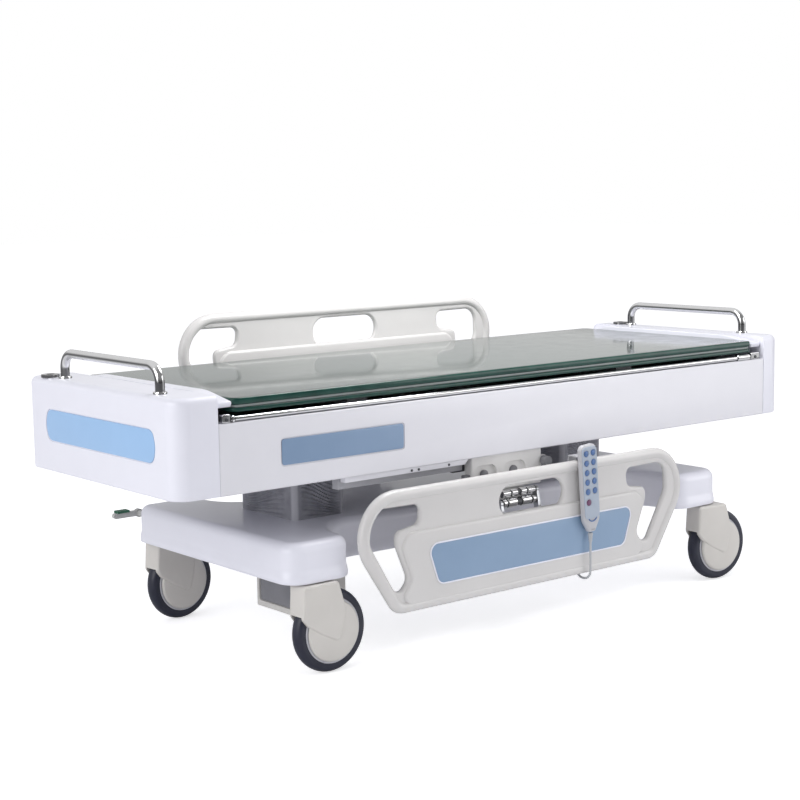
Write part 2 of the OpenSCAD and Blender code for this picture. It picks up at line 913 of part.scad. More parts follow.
// Front outline of the case: straight sides and a chin that narrows towards the cable.
module handset_outline() {
    half = [handset_width, handset_length] / 2;
    polygon(rounded(
        [[-half[0], half[1]], [half[0], half[1]], [half[0], handset_chin - half[1]], [handset_tip, -half[1]],
         [-handset_tip, -half[1]], [-half[0], handset_chin - half[1]]],
        [14, 14, 18, 4, 4, 18]));
}

module handset_case() {
    hook_z = rail_low_z + rail_height / 2 - handset_z;
    color("whitesmoke") at_handset() {
        difference() {
            along_y([-handset_depth, 0]) handset_outline();
            along_y([-handset_depth - eps, -handset_depth + button_depth + 2]) button_holes();
        }
        box([-hook_half, hook_half], [-eps, hook_reach], [hook_z + hook_top - hook_t, hook_z + hook_top]);
        box([-hook_half, hook_half], [hook_reach - hook_t, hook_reach], [hook_z - 20, hook_z + hook_top]);
    }
}

module handset_keypad() {
    color("lightblue") at_handset()
        along_y([-handset_depth - keypad_lift, -handset_depth]) difference() {
            translate([0, handset_chin / 2])
                rounded_rect([handset_width - 8, handset_length - handset_chin - 10], 11);
            button_holes();
        }
}

// A round key that is pressed towards the case.
module key(at) {
    along_y([-handset_depth - button_lift, -handset_depth - button_lift + button_depth])
        translate(at) circle(button_r);
}

module button(i) {
    color("royalblue") at_handset() key(button_at(i));
}

module power_button() {
    color("purple") at_handset() key(power_at);
}

// The cable hangs in front of the rail, turns under it and climbs behind it.
module handset_cable() {
    cable_x = handset_x + 9;
    middle = (cable_y[0] + cable_y[1]) / 2;
    bend_r = (cable_y[1] - cable_y[0]) / 2;
    top_z = handset_z - handset_length / 2 - 4;
    color("whitesmoke") centred() {
        rod_z(cable_x, -cable_y[1], [cable_bottom, top_z], cable_r);
        rod_z(cable_x, -cable_y[1], [top_z - 22, top_z], relief_r);
        rod_z(cable_x, -cable_y[0], [cable_bottom, cable_bottom + 90], cable_r);
        translate([cable_x, -middle, cable_bottom])
            rotate([90, 180, 90])
                rotate_extrude(angle = 180) translate([bend_r, 0]) circle(cable_r);
        box([cable_x - 8, cable_x + 8], [-rail_back, -cable_y[0] + 4], [cable_bottom + 60, cable_bottom + 80]);
    }
}

// ---- Nodes ----

base_cover();
base_frame();
battery_box();
brake_lever();
pedal_pad();
castor_housing(0, -1, 1);  // castor_housing_near_left
castor_hub(0, -1, 1);  // castor_hub_near_left
castor_tyre(0, -1, 1);  // castor_tyre_near_left
castor_housing(1, -1, -5);  // castor_housing_near_right
castor_hub(1, -1, -5);  // castor_hub_near_right
castor_tyre(1, -1, -5);  // castor_tyre_near_right
castor_housing(0, 1, 7);  // castor_housing_far_left
castor_hub(0, 1, 7);  // castor_hub_far_left
castor_tyre(0, 1, 7);  // castor_tyre_far_left
castor_housing(1, 1, 3);  // castor_housing_far_right
castor_hub(1, 1, 3);  // castor_hub_far_right
castor_tyre(1, 1, 3);  // castor_tyre_far_right
column_middle_tubes();
column_inner_tubes();
column_bellows();
deck_frame();
left_shroud();
right_shroud();
side_beams();
end_panels();
side_panels();
push_handles();
pole_sockets();
roller_brackets();
near_roller();
far_roller();
board_core();
board_belts();
board_ends();
rail_brackets();
rail_barrels();
near_rail();
near_rail_insert();
near_upper_arm();
near_lower_arm();
near_latch_knob();
far_rail();
far_rail_insert();
far_upper_arm();
far_lower_arm();
far_latch_knob();
handset_case();
handset_keypad();
handset_cable();
button(0);  // button_1
button(1);  // button_2
button(2);  // button_3
button(3);  // button_4
button(4);  // button_5
button(5);  // button_6
button(6);  // button_7
button(7);  // button_8
button(8);  // button_9
button(9);  // button_10
power_button();
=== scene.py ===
"""Looks of the transfer stretcher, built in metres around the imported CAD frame.

X runs along the deck, Y across it (the near side is -Y) and Z up. Places and overall sizes come
from the boxes of the CAD nodes. The edges, ribs, domes and surface detail are given here.
"""

import json
import math

import bmesh
import bpy
from mathutils import Matrix, Vector

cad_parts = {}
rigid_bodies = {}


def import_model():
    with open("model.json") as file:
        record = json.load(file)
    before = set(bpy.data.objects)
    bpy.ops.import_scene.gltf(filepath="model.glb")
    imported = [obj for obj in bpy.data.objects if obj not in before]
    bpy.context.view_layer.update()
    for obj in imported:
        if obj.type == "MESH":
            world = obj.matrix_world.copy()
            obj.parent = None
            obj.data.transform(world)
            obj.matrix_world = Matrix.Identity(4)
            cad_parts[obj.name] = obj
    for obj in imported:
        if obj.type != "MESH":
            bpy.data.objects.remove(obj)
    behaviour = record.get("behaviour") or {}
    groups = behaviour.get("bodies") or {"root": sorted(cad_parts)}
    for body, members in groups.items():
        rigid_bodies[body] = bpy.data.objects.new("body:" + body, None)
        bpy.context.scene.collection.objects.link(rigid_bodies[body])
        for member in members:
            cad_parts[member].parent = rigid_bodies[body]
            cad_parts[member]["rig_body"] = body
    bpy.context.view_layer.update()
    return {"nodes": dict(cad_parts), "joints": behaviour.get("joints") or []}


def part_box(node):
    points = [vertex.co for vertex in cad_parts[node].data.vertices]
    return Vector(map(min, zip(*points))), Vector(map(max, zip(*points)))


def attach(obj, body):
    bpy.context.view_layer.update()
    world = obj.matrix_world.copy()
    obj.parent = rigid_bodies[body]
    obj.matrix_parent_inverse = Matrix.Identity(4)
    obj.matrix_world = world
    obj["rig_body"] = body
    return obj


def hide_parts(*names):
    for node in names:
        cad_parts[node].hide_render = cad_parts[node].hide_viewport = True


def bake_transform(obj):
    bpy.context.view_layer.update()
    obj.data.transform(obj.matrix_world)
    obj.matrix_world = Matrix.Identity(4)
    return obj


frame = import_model()
MM = 0.001
SMOOTH_ANGLE = math.radians(38)
WELD = 2e-6  # points closer than this are one point


# ---- Outlines ----


def corner_arc(a, b, c, radius, steps):
    """The arc that rounds corner b between its neighbours a and c."""
    if radius <= 0:
        return [b]
    to_a, to_c = (a - b).normalized(), (c - b).normalized()
    half = math.acos(max(-1, min(1, to_a.dot(to_c)))) / 2
    centre = b + (to_a + to_c).normalized() * radius / math.sin(half)
    start = b + to_a * radius / math.tan(half) - centre
    stop = b + to_c * radius / math.tan(half) - centre
    turn = math.atan2(start.x * stop.y - start.y * stop.x, start.dot(stop))
    return [centre + Matrix.Rotation(turn * i / steps, 2) @ start for i in range(steps + 1)]


def rounded(points, radii, steps=10):
    """An outline in millimetres, with each corner rounded, as points in metres."""
    points = [Vector(p) for p in points]
    radii = radii if isinstance(radii, (list, tuple)) else [radii] * len(points)
    loop = []
    for i, radius in enumerate(radii):
        loop += corner_arc(points[i - 1], points[i], points[(i + 1) % len(points)], radius, steps)
    return [p * MM for p in loop]


def rectangle(width, height, radius, centre=(0, 0), steps=10):
    """A rounded rectangle in millimetres, as points in metres."""
    u, v = width / 2, height / 2
    cx, cy = centre
    return rounded([(cx - u, cy - v), (cx + u, cy - v), (cx + u, cy + v), (cx - u, cy + v)], radius, steps)


def circle(radius, u, v, steps=48):
    """A circle in millimetres, as points in metres."""
    turns = [2 * math.pi * i / steps for i in range(steps)]
    return [Vector((u + radius * math.cos(t), v + radius * math.sin(t))) * MM for t in turns]


def area(loop):
    """Area of a loop, positive when it runs anticlockwise."""
    return sum(a.x * b.y - b.x * a.y for a, b in zip(loop, loop[1:] + loop[:1])) / 2


def turned(loop, anticlockwise):
    """The loop, run the way asked for."""
    return loop if (area(loop) > 0) == anticlockwise else loop[::-1]


def inset(loop, distance):
    """An anticlockwise loop drawn in by a distance in metres."""
    out = []
    for i, p in enumerate(loop):
        before, after = p - loop[i - 1], loop[(i + 1) % len(loop)] - p
        if before.length < 1e-9:
            before = after
        if after.length < 1e-9:
            after = before
        along = (before.normalized() + after.normalized()).normalized()
        out.append(p + Vector((-along.y, along.x)) * distance)
    return out


# ---- Meshes ----

FRONT = Matrix(((1, 0, 0, 0), (0, 0, -1, 0), (0, 1, 0, 0), (0, 0, 0, 1)))  # u is X, v is Z, out is -Y
BACK = Matrix(((-1, 0, 0, 0), (0, 0, 1, 0), (0, 1, 0, 0), (0, 0, 0, 1)))  # u is -X, v is Z, out is +Y
SIDE = Matrix(((0, 0, 1, 0), (1, 0, 0, 0), (0, 1, 0, 0), (0, 0, 0, 1)))  # u is Y, v is Z, out is +X
FLAT = Matrix.Identity(4)  # u is X, v is Y, out is +Z
RAIL_SIDES = (("near", FRONT, -1), ("far", BACK, 1))


def at(x, y, z, basis=FLAT):
    """A basis moved to a point given in metres."""
    return Matrix.Translation((x, y, z)) @ basis


def weld(mesh, drop_slivers):
    """Merges coincident points and turns the faces outward."""
    work = bmesh.new()
    work.from_mesh(mesh)
    bmesh.ops.remove_doubles(work, verts=work.verts, dist=WELD)
    if drop_slivers:
        bmesh.ops.dissolve_degenerate(work, edges=work.edges, dist=WELD / 2)
    bmesh.ops.recalc_face_normals(work, faces=work.faces)
    work.to_mesh(mesh)
    work.free()


def linked(name, data):
    """A new object in the scene."""
    obj = bpy.data.objects.new(name, data)
    bpy.context.scene.collection.objects.link(obj)
    return obj


def baked(obj):
    """The mesh of an object with its curves and modifiers applied."""
    bpy.context.view_layer.update()
    return bpy.data.meshes.new_from_object(obj.evaluated_get(bpy.context.evaluated_depsgraph_get()))


def finish_mesh(name, mesh, material, body, replaces=()):
    """Welds a mesh, smooths it, makes it an object, and rides it on its body."""
    weld(mesh, True)
    mesh.materials.clear()
    mesh.materials.append(material)
    mesh.shade_smooth()
    mesh.set_sharp_from_angle(angle=SMOOTH_ANGLE)
    obj = linked(name, mesh)
    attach(obj, body)
    if replaces:
        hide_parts(*replaces)
    return obj


def stretch(obj, a, b, start, end):
    """Takes a finished piece off its body and bakes its place into its mesh."""
    obj.parent = None
    del obj["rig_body"]
    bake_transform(obj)


def curve_mesh(loops, basis, settings):
    """Bevelled closed curves in the u, v plane of a basis."""
    curve = bpy.data.curves.new("curve", "CURVE")
    for key, value in settings.items():
        setattr(curve, key, value)
    for loop in loops:
        spline = curve.splines.new("POLY")
        spline.points.add(len(loop) - 1)
        for point, p in zip(spline.points, loop):
            point.co = (p.x, p.y, 0, 1)
        spline.use_cyclic_u = True
    maker = linked("curve", curve)
    mesh = baked(maker)
    bpy.data.objects.remove(maker)
    mesh.transform(basis)
    return mesh


def plate_mesh(loops, thickness, edge, basis, steps=5):
    """A plate with rounded edges. The first loop is the outline and the others are holes;
    the plate is centred on its basis and lies in its u, v plane. Sizes are in metres."""
    loops = [turned(loop, i > 0) for i, loop in enumerate(loops)]
    return curve_mesh(loops, basis, {
        "dimensions": "2D", "fill_mode": "BOTH", "extrude": thickness / 2 - edge,
        "bevel_depth": edge, "bevel_resolution": steps, "offset": -edge,
    })


def wire_mesh(loop, radius, basis):
    """A round wire laid along a closed loop in the u, v plane of its basis."""
    return curve_mesh([loop], basis, {"dimensions": "3D", "bevel_depth": radius, "bevel_resolution": 6})


def loft_mesh(rings, cap=True):
    """Joins rings of equal length into a skin, with flat caps on the first and last."""
    work = bmesh.new()
    rows = [[work.verts.new(p) for p in ring] for ring in rings]
    for low, high in zip(rows, rows[1:]):
        for i in range(len(low)):
            j = (i + 1) % len(low)
            work.faces.new((low[i], low[j], high[j], high[i]))
    if cap:
        work.faces.new(rows[0][::-1])
        work.faces.new(rows[-1])
    mesh = bpy.data.meshes.new("loft")
    work.to_mesh(mesh)
    work.free()
    return mesh


def stack_mesh(loop, levels, basis):
    """A loop lofted through levels of (height, inset), both in metres."""
    loop = turned(loop, True)
    rings = []
    for height, drawn_in in levels:
        rings.append([basis @ Vector((p.x, p.y, height)) for p in inset(loop, drawn_in)])
    return loft_mesh(rings)


def quarter(radius, steps):
    """A rounded edge as pairs of (distance to the end, inset), starting at the wall."""
    turns = [math.pi / 2 * i / steps for i in range(steps + 1)]
    return [(radius * (1 - math.sin(t)), radius * (1 - math.cos(t))) for t in turns]


def revolve_mesh(profile, basis, steps, cap=True):
    """A profile of (radius, height) points in millimetres, turned about the basis' out axis."""
    turns = [2 * math.pi * i / steps for i in range(steps)]
    rings = []
    for r, h in profile:
        rings.append([basis @ (Vector((r * math.cos(t), r * math.sin(t), h)) * MM) for t in turns])
    return loft_mesh(rings, cap)


def join_meshes(*meshes):
    """Several meshes as one, still overlapping."""
    work = bmesh.new()
    for mesh in meshes:
        work.from_mesh(mesh)
    mesh = bpy.data.meshes.new("joined")
    work.to_mesh(mesh)
    work.free()
    return mesh


def boolean_mesh(mesh, cutter, operation="DIFFERENCE"):
    """One exact boolean of two closed meshes."""
    objects = []
    for m in (mesh, cutter):
        weld(m, False)
        objects.append(linked("boolean", m))
    modifier = objects[0].modifiers.new("cut", "BOOLEAN")
    modifier.operation = operation
    modifier.solver = "EXACT"
    modifier.object = objects[1]
    result = baked(objects[0])
    for obj in objects:
        bpy.data.objects.remove(obj)
    return result


def halve_mesh(mesh, point, keep):
    """Keeps the side of a plane that keep points to, and closes the cut."""
    work = bmesh.new()
    work.from_mesh(mesh)
    geometry = work.verts[:] + work.edges[:] + work.faces[:]
    away = -Vector(keep)
    cut = bmesh.ops.bisect_plane(work, geom=geometry, plane_co=point, plane_no=away, clear_outer=True)
    edges = [g for g in cut["geom_cut"] if isinstance(g, bmesh.types.BMEdge)]
    bmesh.ops.contextual_create(work, geom=edges)
    work.to_mesh(mesh)
    work.free()
    return mesh


def tube_mesh(points, radius, steps, bend=None, bend_steps=12):
    """A round tube along points in metres, with bends of the given radius at its corners."""
    path = []
    for i, p in enumerate(points):
        p = Vector(p)
        if not bend or i in (0, len(points) - 1):
            path.append(p)
            continue
        to_a, to_c = ((Vector(points[i + k]) - p).normalized() for k in (-1, 1))
        half = to_a.angle(to_c) / 2
        centre = p + (to_a + to_c).normalized() * bend / math.sin(half)
        start, stop = ((p + to * bend / math.tan(half) - centre).normalized() for to in (to_a, to_c))
        path += [centre + start.slerp(stop, k / bend_steps) * bend for k in range(bend_steps + 1)]
    rings = []
    side = None
    turns = [2 * math.pi * k / steps for k in range(steps)]
    for i, p in enumerate(path):
        along = (path[min(i + 1, len(path) - 1)] - path[max(i - 1, 0)]).normalized()
        side = (along.orthogonal() if side is None else side - along * side.dot(along)).normalized()
        other = along.cross(side)
        rings.append([p + (side * math.cos(t) + other * math.sin(t)) * radius for t in turns])
    return loft_mesh(rings)


# ---- Materials ----


def new_material(name):
    """An empty material with one shader, as (material, node tree, shader)."""
    material = bpy.data.materials.new(name)
    material.use_nodes = True
    tree = material.node_tree
    tree.nodes.clear()
    output = tree.nodes.new("ShaderNodeOutputMaterial")
    shader = tree.nodes.new("ShaderNodeBsdfPrincipled")
    tree.links.new(shader.outputs[0], output.inputs[0])
    return material, tree, shader


def axes_of(tree, kind, output):
    """The X, Y and Z of a vector that a source node gives."""
    source = tree.nodes.new(kind)
    axes = tree.nodes.new("ShaderNodeSeparateXYZ")
    tree.links.new(source.outputs[output], axes.inputs[0])
    return axes.outputs


def calculate(tree, operation, *values):
    """A math node on sockets or plain numbers."""
    node = tree.nodes.new("ShaderNodeMath")
    node.operation = operation
    for socket, value in zip(node.inputs, values):
        if isinstance(value, float):
            socket.default_value = value
        else:
            tree.links.new(value, socket)
    return node.outputs[0]


def noise(tree, scale, detail, stretch=(1, 1, 1)):
    """A noise factor in object space, with features of about 1/scale metres."""
    place = tree.nodes.new("ShaderNodeTexCoord")
    mapping = tree.nodes.new("ShaderNodeMapping")
    mapping.inputs["Scale"].default_value = stretch
    texture = tree.nodes.new("ShaderNodeTexNoise")
    texture.inputs["Scale"].default_value = scale
    texture.inputs["Detail"].default_value = detail
    tree.links.new(place.outputs["Object"], mapping.inputs[0])
    tree.links.new(mapping.outputs[0], texture.inputs["Vector"])
    return texture.outputs["Fac"]


def map_range(tree, factor, start, stop, low=0, high=1):
    """Maps start to stop of a factor onto low to high."""
    node = tree.nodes.new("ShaderNodeMapRange")
    for key, value in (("From Min", start), ("From Max", stop), ("To Min", low), ("To Max", high)):
        node.inputs[key].default_value = value
    tree.links.new(factor, node.inputs["Value"])
    return node.outputs[0]


def ramp(tree, factor, low=0, high=1):
    """Maps the middle of a noise factor onto a range of values."""
    return map_range(tree, factor, 0.3, 0.7, low, high)


def mix_colours(tree, factor, a, b):
    """Mixes two colours, each a socket or a plain colour."""
    node = tree.nodes.new("ShaderNodeMix")
    node.data_type = "RGBA"
    for index, value in ((6, a), (7, b)):
        if isinstance(value, tuple):
            node.inputs[index].default_value = (*value, 1)
        else:
            tree.links.new(value, node.inputs[index])
    tree.links.new(factor, node.inputs[0])
    return node.outputs[2]


def scuffs(tree):
    """Sparse soft marks of wear, 1 inside a mark."""
    return map_range(tree, noise(tree, 26, 8, (1, 1, 0.5)), 0.60, 0.72)


def bump(tree, shader, height, depth):
    """A bump of a depth in millimetres."""
    node = tree.nodes.new("ShaderNodeBump")
    node.inputs["Distance"].default_value = depth * MM
    node.inputs["Strength"].default_value = 1
    tree.links.new(height, node.inputs["Height"])
    tree.links.new(node.outputs[0], shader.inputs["Normal"])


def surface(name, colour, roughness, grain, depth, tint, wear=0.03, coat=0.0, spread=0.06,
            metallic=0.0, stretch=(1, 1, 1)):
    """A surface with colour mottled by a share of tint, roughness that varies by spread, lighter
    scuffs, and a fine grain of about 1/grain metres, depth millimetres deep."""
    material, tree, shader = new_material(name)
    dark = tuple(c * (1 - tint) for c in colour)
    light = tuple(min(1, c * (1 + tint) + 0.01) for c in colour)
    worn = tuple(min(1, c + wear) for c in colour)
    body = mix_colours(tree, ramp(tree, noise(tree, 14, 5)), dark, light)
    if wear:
        body = mix_colours(tree, scuffs(tree), body, worn)
    tree.links.new(body, shader.inputs["Base Color"])
    patchy = ramp(tree, noise(tree, 35, 6, stretch), roughness - spread, roughness + spread)
    tree.links.new(patchy, shader.inputs["Roughness"])
    shader.inputs["Metallic"].default_value = metallic
    shader.inputs["Coat Weight"].default_value = coat
    shader.inputs["Coat Roughness"].default_value = 0.06
    bump(tree, shader, noise(tree, grain, 2, stretch), depth)
    return material


def moulded(name, colour, roughness, grain, depth, tint, coat, spread):
    """Clean moulded plastic or paint under a thin clear coat, without scuffs."""
    return surface(name, colour, roughness, grain, depth, tint, 0, coat, spread)


WHITE = moulded("shell_white", (0.80, 0.80, 0.875), 0.34, 500, 0.02, 0.004, 0.25, 0.02)
BEAM = moulded("beam_white", (0.76, 0.755, 0.80), 0.35, 500, 0.008, 0.004, 0.25, 0.02)
CREAM = moulded("rail_cream", (0.65, 0.635, 0.625), 0.34, 500, 0.02, 0.008, 0.25, 0.03)
SKY = moulded("panel_sky", (0.320, 0.515, 0.785), 0.35, 600, 0.01, 0.006, 0.2, 0.02)
BLUE = moulded("panel_blue", (0.205, 0.305, 0.460), 0.34, 600, 0.01, 0.006, 0.15, 0.02)
INSERT = moulded("insert_blue", (0.235, 0.345, 0.500), 0.34, 600, 0.01, 0.006, 0.15, 0.02)
CASTOR = surface("castor_cream", (0.63, 0.605, 0.57), 0.34, 500, 0.03, 0.015, wear=0.015, coat=0.2)
BRACKET = surface("bracket_cream", (0.80, 0.79, 0.775), 0.38, 450, 0.06, 0.03)
DOOR = surface("door_grey", (0.20, 0.20, 0.22), 0.45, 450, 0.05, 0.06)
HUB = surface("hub_white", (0.58, 0.58, 0.62), 0.4, 700, 0.03, 0.02, wear=0.02)
TYRE = surface("tyre_navy", (0.008, 0.010, 0.028), 0.40, 350, 0.12, 0.12, wear=0.008, spread=0.09)
STEEL = surface("brushed_steel", (0.50, 0.51, 0.53), 0.30, 240, 0.02, 0.04, metallic=1.0,
                stretch=(1, 1, 0.06))
FRAME = surface("frame_grey", (0.060, 0.062, 0.070), 0.45, 400, 0.05, 0.10, wear=0.04)
DECK = surface("deck_grey", (0.42, 0.42, 0.45), 0.38, 500, 0.03, 0.03, wear=0.004)
BATTERY = surface("battery_beige", (0.60, 0.585, 0.56), 0.45, 450, 0.06, 0.05)
DARK = surface("dark_plastic", (0.030, 0.032, 0.038), 0.38, 450, 0.06, 0.12)
KNOB = surface("knob_grey", (0.20, 0.20, 0.215), 0.40, 450, 0.06, 0.08)
LEVER = surface("lever_grey", (0.50, 0.50, 0.49), 0.42, 400, 0.05, 0.06)
PAD = surface("pad_green", (0.02, 0.115, 0.065), 0.60, 350, 0.12, 0.12)
CORE = surface("core_grey", (0.26, 0.29, 0.285), 0.35, 500, 0.03, 0.05)
CASE = surface("case_grey", (0.50, 0.50, 0.525), 0.40, 700, 0.05, 0.015, wear=0.01)
KEYPAD = surface("keypad_blue", (0.40, 0.455, 0.54), 0.42, 700, 0.03, 0.015, wear=0.01)
KEY = surface("key_blue", (0.085, 0.165, 0.36), 0.42, 500, 0.04, 0.05, wear=0.01)
POWER = surface("key_purple", (0.16, 0.06, 0.13), 0.42, 500, 0.04, 0.05, wear=0.01)
CABLE = surface("cable_grey", (0.48, 0.49, 0.51), 0.45, 500, 0.04, 0.04)


def chrome_material():
    """Polished chrome. Its colour is a painted reflection: light and dark bands follow the mirrored
    direction, like dark cards in a studio.
    """
    material, tree, shader = new_material("chrome")
    height = map_range(tree, axes_of(tree, "ShaderNodeTexCoord", "Reflection")["Z"], -1, 1)
    # Painted reflection: the base colour is a ramp over the height of the mirrored direction.
    cards = tree.nodes.new("ShaderNodeValToRGB")
    stops = ((0.0, 0.62), (0.30, 0.80), (0.40, 0.22), (0.49, 0.13), (0.56, 0.34), (0.66, 0.88), (0.85, 0.95))
    while len(cards.color_ramp.elements) < len(stops):
        cards.color_ramp.elements.new(0.5)
    for element, (position, value) in zip(cards.color_ramp.elements, stops):
        element.position = position
        element.color = (value, value, value * 1.01, 1)
    tree.links.new(height, cards.inputs[0])
    dulled_painted_reflection = mix_colours(tree, ramp(tree, noise(tree, 40, 5), 0, 0.10), cards.outputs[0], (0.45, 0.45, 0.46))
    tree.links.new(dulled_painted_reflection, shader.inputs["Base Color"])
    tree.links.new(ramp(tree, noise(tree, 60, 5), 0.06, 0.13), shader.inputs["Roughness"])
    shader.inputs["Metallic"].default_value = 1
    bump(tree, shader, noise(tree, 1500, 2), 0.004)
    return material


def belt_material():
    """Glossy dark green sheet: faces turned up are painted a lighter grey-green as a painted reflection of
    the room; the cut edges keep the dark green.
    """
    material, tree, shader = new_material("belt_green")
    facing = map_range(tree, axes_of(tree, "ShaderNodeNewGeometry", "Normal")["Z"], 0.75, 0.97)
    # Painted reflection: the lighter grey-green top colour stands in for the room mirrored at a grazing
    # angle.
    top = mix_colours(tree, ramp(tree, noise(tree, 3, 4)), (0.058, 0.082, 0.074), (0.070, 0.096, 0.087))
    edge = mix_colours(tree, ramp(tree, noise(tree, 25, 4)), (0.006, 0.042, 0.032), (0.013, 0.064, 0.050))
    tree.links.new(mix_colours(tree, facing, edge, top), shader.inputs["Base Color"])
    tree.links.new(ramp(tree, noise(tree, 18, 6), 0.07, 0.13), shader.inputs["Roughness"])
    tree.links.new(ramp(tree, facing, 0.08, 0.20), shader.inputs["Coat Weight"])
    tree.links.new(ramp(tree, facing, 0.30, 0.35), shader.inputs["Specular IOR Level"])
    shader.inputs["Coat Roughness"].default_value = 0.04
    bump(tree, shader, noise(tree, 6, 3), 0.05)
    return material


def bellows_material():
    """Coated fabric with a woven grain; down its corners, where the surface faces diagonally, the colour is
    painted lighter as a painted highlight.
    """
    material, tree, shader = new_material("bellows_grey")
    normal = axes_of(tree, "ShaderNodeNewGeometry", "Normal")
    # Painted highlight: faces turned diagonally, down the rounded corners, are mixed towards light grey.
    diagonal_highlight_mask = calculate(tree, "ABSOLUTE", calculate(tree, "MULTIPLY", normal["X"], normal["Y"]))
    body = mix_colours(tree, ramp(tree, noise(tree, 40, 5)), (0.27, 0.27, 0.31), (0.36, 0.36, 0.40))
    body = mix_colours(tree, map_range(tree, diagonal_highlight_mask, 0.15, 0.40), body, (0.52, 0.52, 0.56))
    tree.links.new(body, shader.inputs["Base Color"])
    tree.links.new(ramp(tree, noise(tree, 90, 5), 0.45, 0.62), shader.inputs["Roughness"])
    bump(tree, shader, noise(tree, 700, 3), 0.15)
    return material


BELT = belt_material()
CHROME = chrome_material()
BELLOWS = bellows_material()


# ---- Deck ----

left_low, left_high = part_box("left_shroud")
right_low, right_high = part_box("right_shroud")
beam_low, beam_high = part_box("side_beams")
middle_y = (left_low.y + left_high.y) / 2
deck_x = (left_low.x + right_high.x) / 2
deck_length = right_high.x - left_low.x
deck_width = left_high.y - left_low.y
TOP_FILLET = 16 * MM
LOW_FILLET = 4 * MM
SHELL_R = [44, 44, 20, 20]  # plan corners, the two near ones first
PANEL_THICK, PANEL_EDGE = 2.4 * MM, 1.0 * MM


def bowed(width, height, grow):
    """A wide panel outline with bowed ends and soft corners, in millimetres."""
    u, v, bow = width / 2, height / 2, 14
    points = [(-u + bow, -v), (u - bow, -v), (u, 0), (u - bow, v), (-u + bow, v), (-u, 0)]
    points = [(x + math.copysign(grow, x), z + (math.copysign(grow, z) if z else 0)) for x, z in points]
    return rounded(points, [24, 24, 50, 24, 24, 50], 10)


def shrouds():
    """End covers, cut from one long rounded box, each with a light blue panel let in."""
    u, v = deck_length / 2 / MM, deck_width / 2 / MM
    outline = rounded([(-u, -v), (u, -v), (u, v), (-u, v)], SHELL_R, 14)
    levels = [(left_low.z + rise, drawn_in) for rise, drawn_in in quarter(LOW_FILLET, 8)][::-1]
    levels += [(left_high.z - drop, drawn_in) for drop, drawn_in in quarter(TOP_FILLET, 8)]
    panel_low, panel_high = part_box("end_panels")
    width, height = (panel_high.y - panel_low.y) / MM, (panel_high.z - panel_low.z) / MM
    z = (panel_low.z + panel_high.z) / 2
    replaces = ("end_panels",)
    for name, seam, side, face in (
        ("left_shroud", left_high.x, -1, left_low.x),
        ("right_shroud", right_low.x, 1, right_high.x),
    ):
        shell = halve_mesh(stack_mesh(outline, levels, at(deck_x, middle_y, 0)), (seam, 0, 0), (side, 0, 0))
        recess = plate_mesh([bowed(width, height, 3)], 5 * MM, 0.4 * MM, at(face, middle_y, z, SIDE), 2)
        finish_mesh(name + "_shell", boolean_mesh(shell, recess), WHITE, "deck", (name,))
        where = at(face - side * 1.3 * MM, middle_y, z, SIDE)
        panel = plate_mesh([bowed(width, height, -0.5)], PANEL_THICK, PANEL_EDGE, where, 3)
        finish_mesh(name + "_panel", panel, SKY, "deck", replaces)
        replaces = ()


def side_shells():
    """Side beams, each with a blue panel let in."""
    panel_low, panel_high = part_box("side_panels")
    width, height = (panel_high.x - panel_low.x) / MM, (panel_high.z - panel_low.z) / MM
    centre = (panel_low + panel_high) / 2
    length, tall = (beam_high.x - beam_low.x) / MM, (beam_high.z - beam_low.z) / MM
    depth = 41 * MM
    middle = (beam_low + beam_high) / 2
    for name, basis, side in RAIL_SIDES:
        near = side < 0
        face = middle_y + side * deck_width / 2
        where = at(middle.x, face - side * depth / 2, middle.z, basis)
        beam = plate_mesh([rectangle(length, tall, 2, steps=3)], depth, 2.5 * MM, where)
        where = at(centre.x, face, centre.z, basis)
        recess = plate_mesh([rectangle(width + 5, height + 5, 9)], 4 * MM, 0.4 * MM, where, 2)
        beam = boolean_mesh(beam, recess)
        finish_mesh(name + "_side_beam", beam, BEAM, "deck", ("side_beams",) if near else ())
        where = at(centre.x, face - side * 0.7 * MM, centre.z, basis)
        panel = plate_mesh([rectangle(width - 1, height - 1, 7)], PANEL_THICK, PANEL_EDGE, where, 3)
        finish_mesh(name + "_side_panel", panel, BLUE, "deck", ("side_panels",) if near else ())


def roller_ends():
    """Chrome brackets that hold the roller stubs: a lug, a turned boss and a dark screw."""
    low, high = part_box("roller_brackets")
    roller_low, roller_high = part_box("near_roller")
    z, lug_z = (roller_low.z + roller_high.z) / 2, (low.z + high.z) / 2
    stub = 8 * MM
    replaces = ("roller_brackets",)
    for name, basis, side in RAIL_SIDES:
        y = middle_y + side * 333 * MM
        for end, outer, inner, lug_size, turn in (
            ("left", low.x, roller_low.x + stub, 22 * MM, 0),
            ("right", high.x, roller_high.x - stub, -38 * MM, math.pi),
        ):
            block = outer + lug_size
            x = (outer + block) / 2
            lug = rectangle(abs(lug_size) / MM, (high.z - low.z) / MM - 1, 4, steps=6)
            reach = abs(inner - block) / MM
            boss = [(0.5, 3), (6.5, 3), (6.5, 5), (9.2, 5), (9.2, reach - 3), (8, reach - 2), (5, reach - 2),
                    (5, reach), (0.5, reach)]
            bracket = join_meshes(
                plate_mesh([lug], 15 * MM, 2 * MM, at(x, y, lug_z, FRONT), 3),
                revolve_mesh(boss, at(block, y, z, SIDE) @ Matrix.Rotation(turn, 4, "Y"), 40),
            )
            finish_mesh(name + "_" + end + "_roller_bracket", bracket, CHROME, "deck", replaces)
            replaces = ()
            head = [(0.3, 0), (4.2, 0), (4.2, 2.2), (3.4, 3), (0.3, 3)]
            screw = revolve_mesh(head, at(x, y + side * 6.8 * MM, z, basis), 24)
            finish_mesh(name + "_" + end + "_bracket_screw", screw, DARK, "deck")


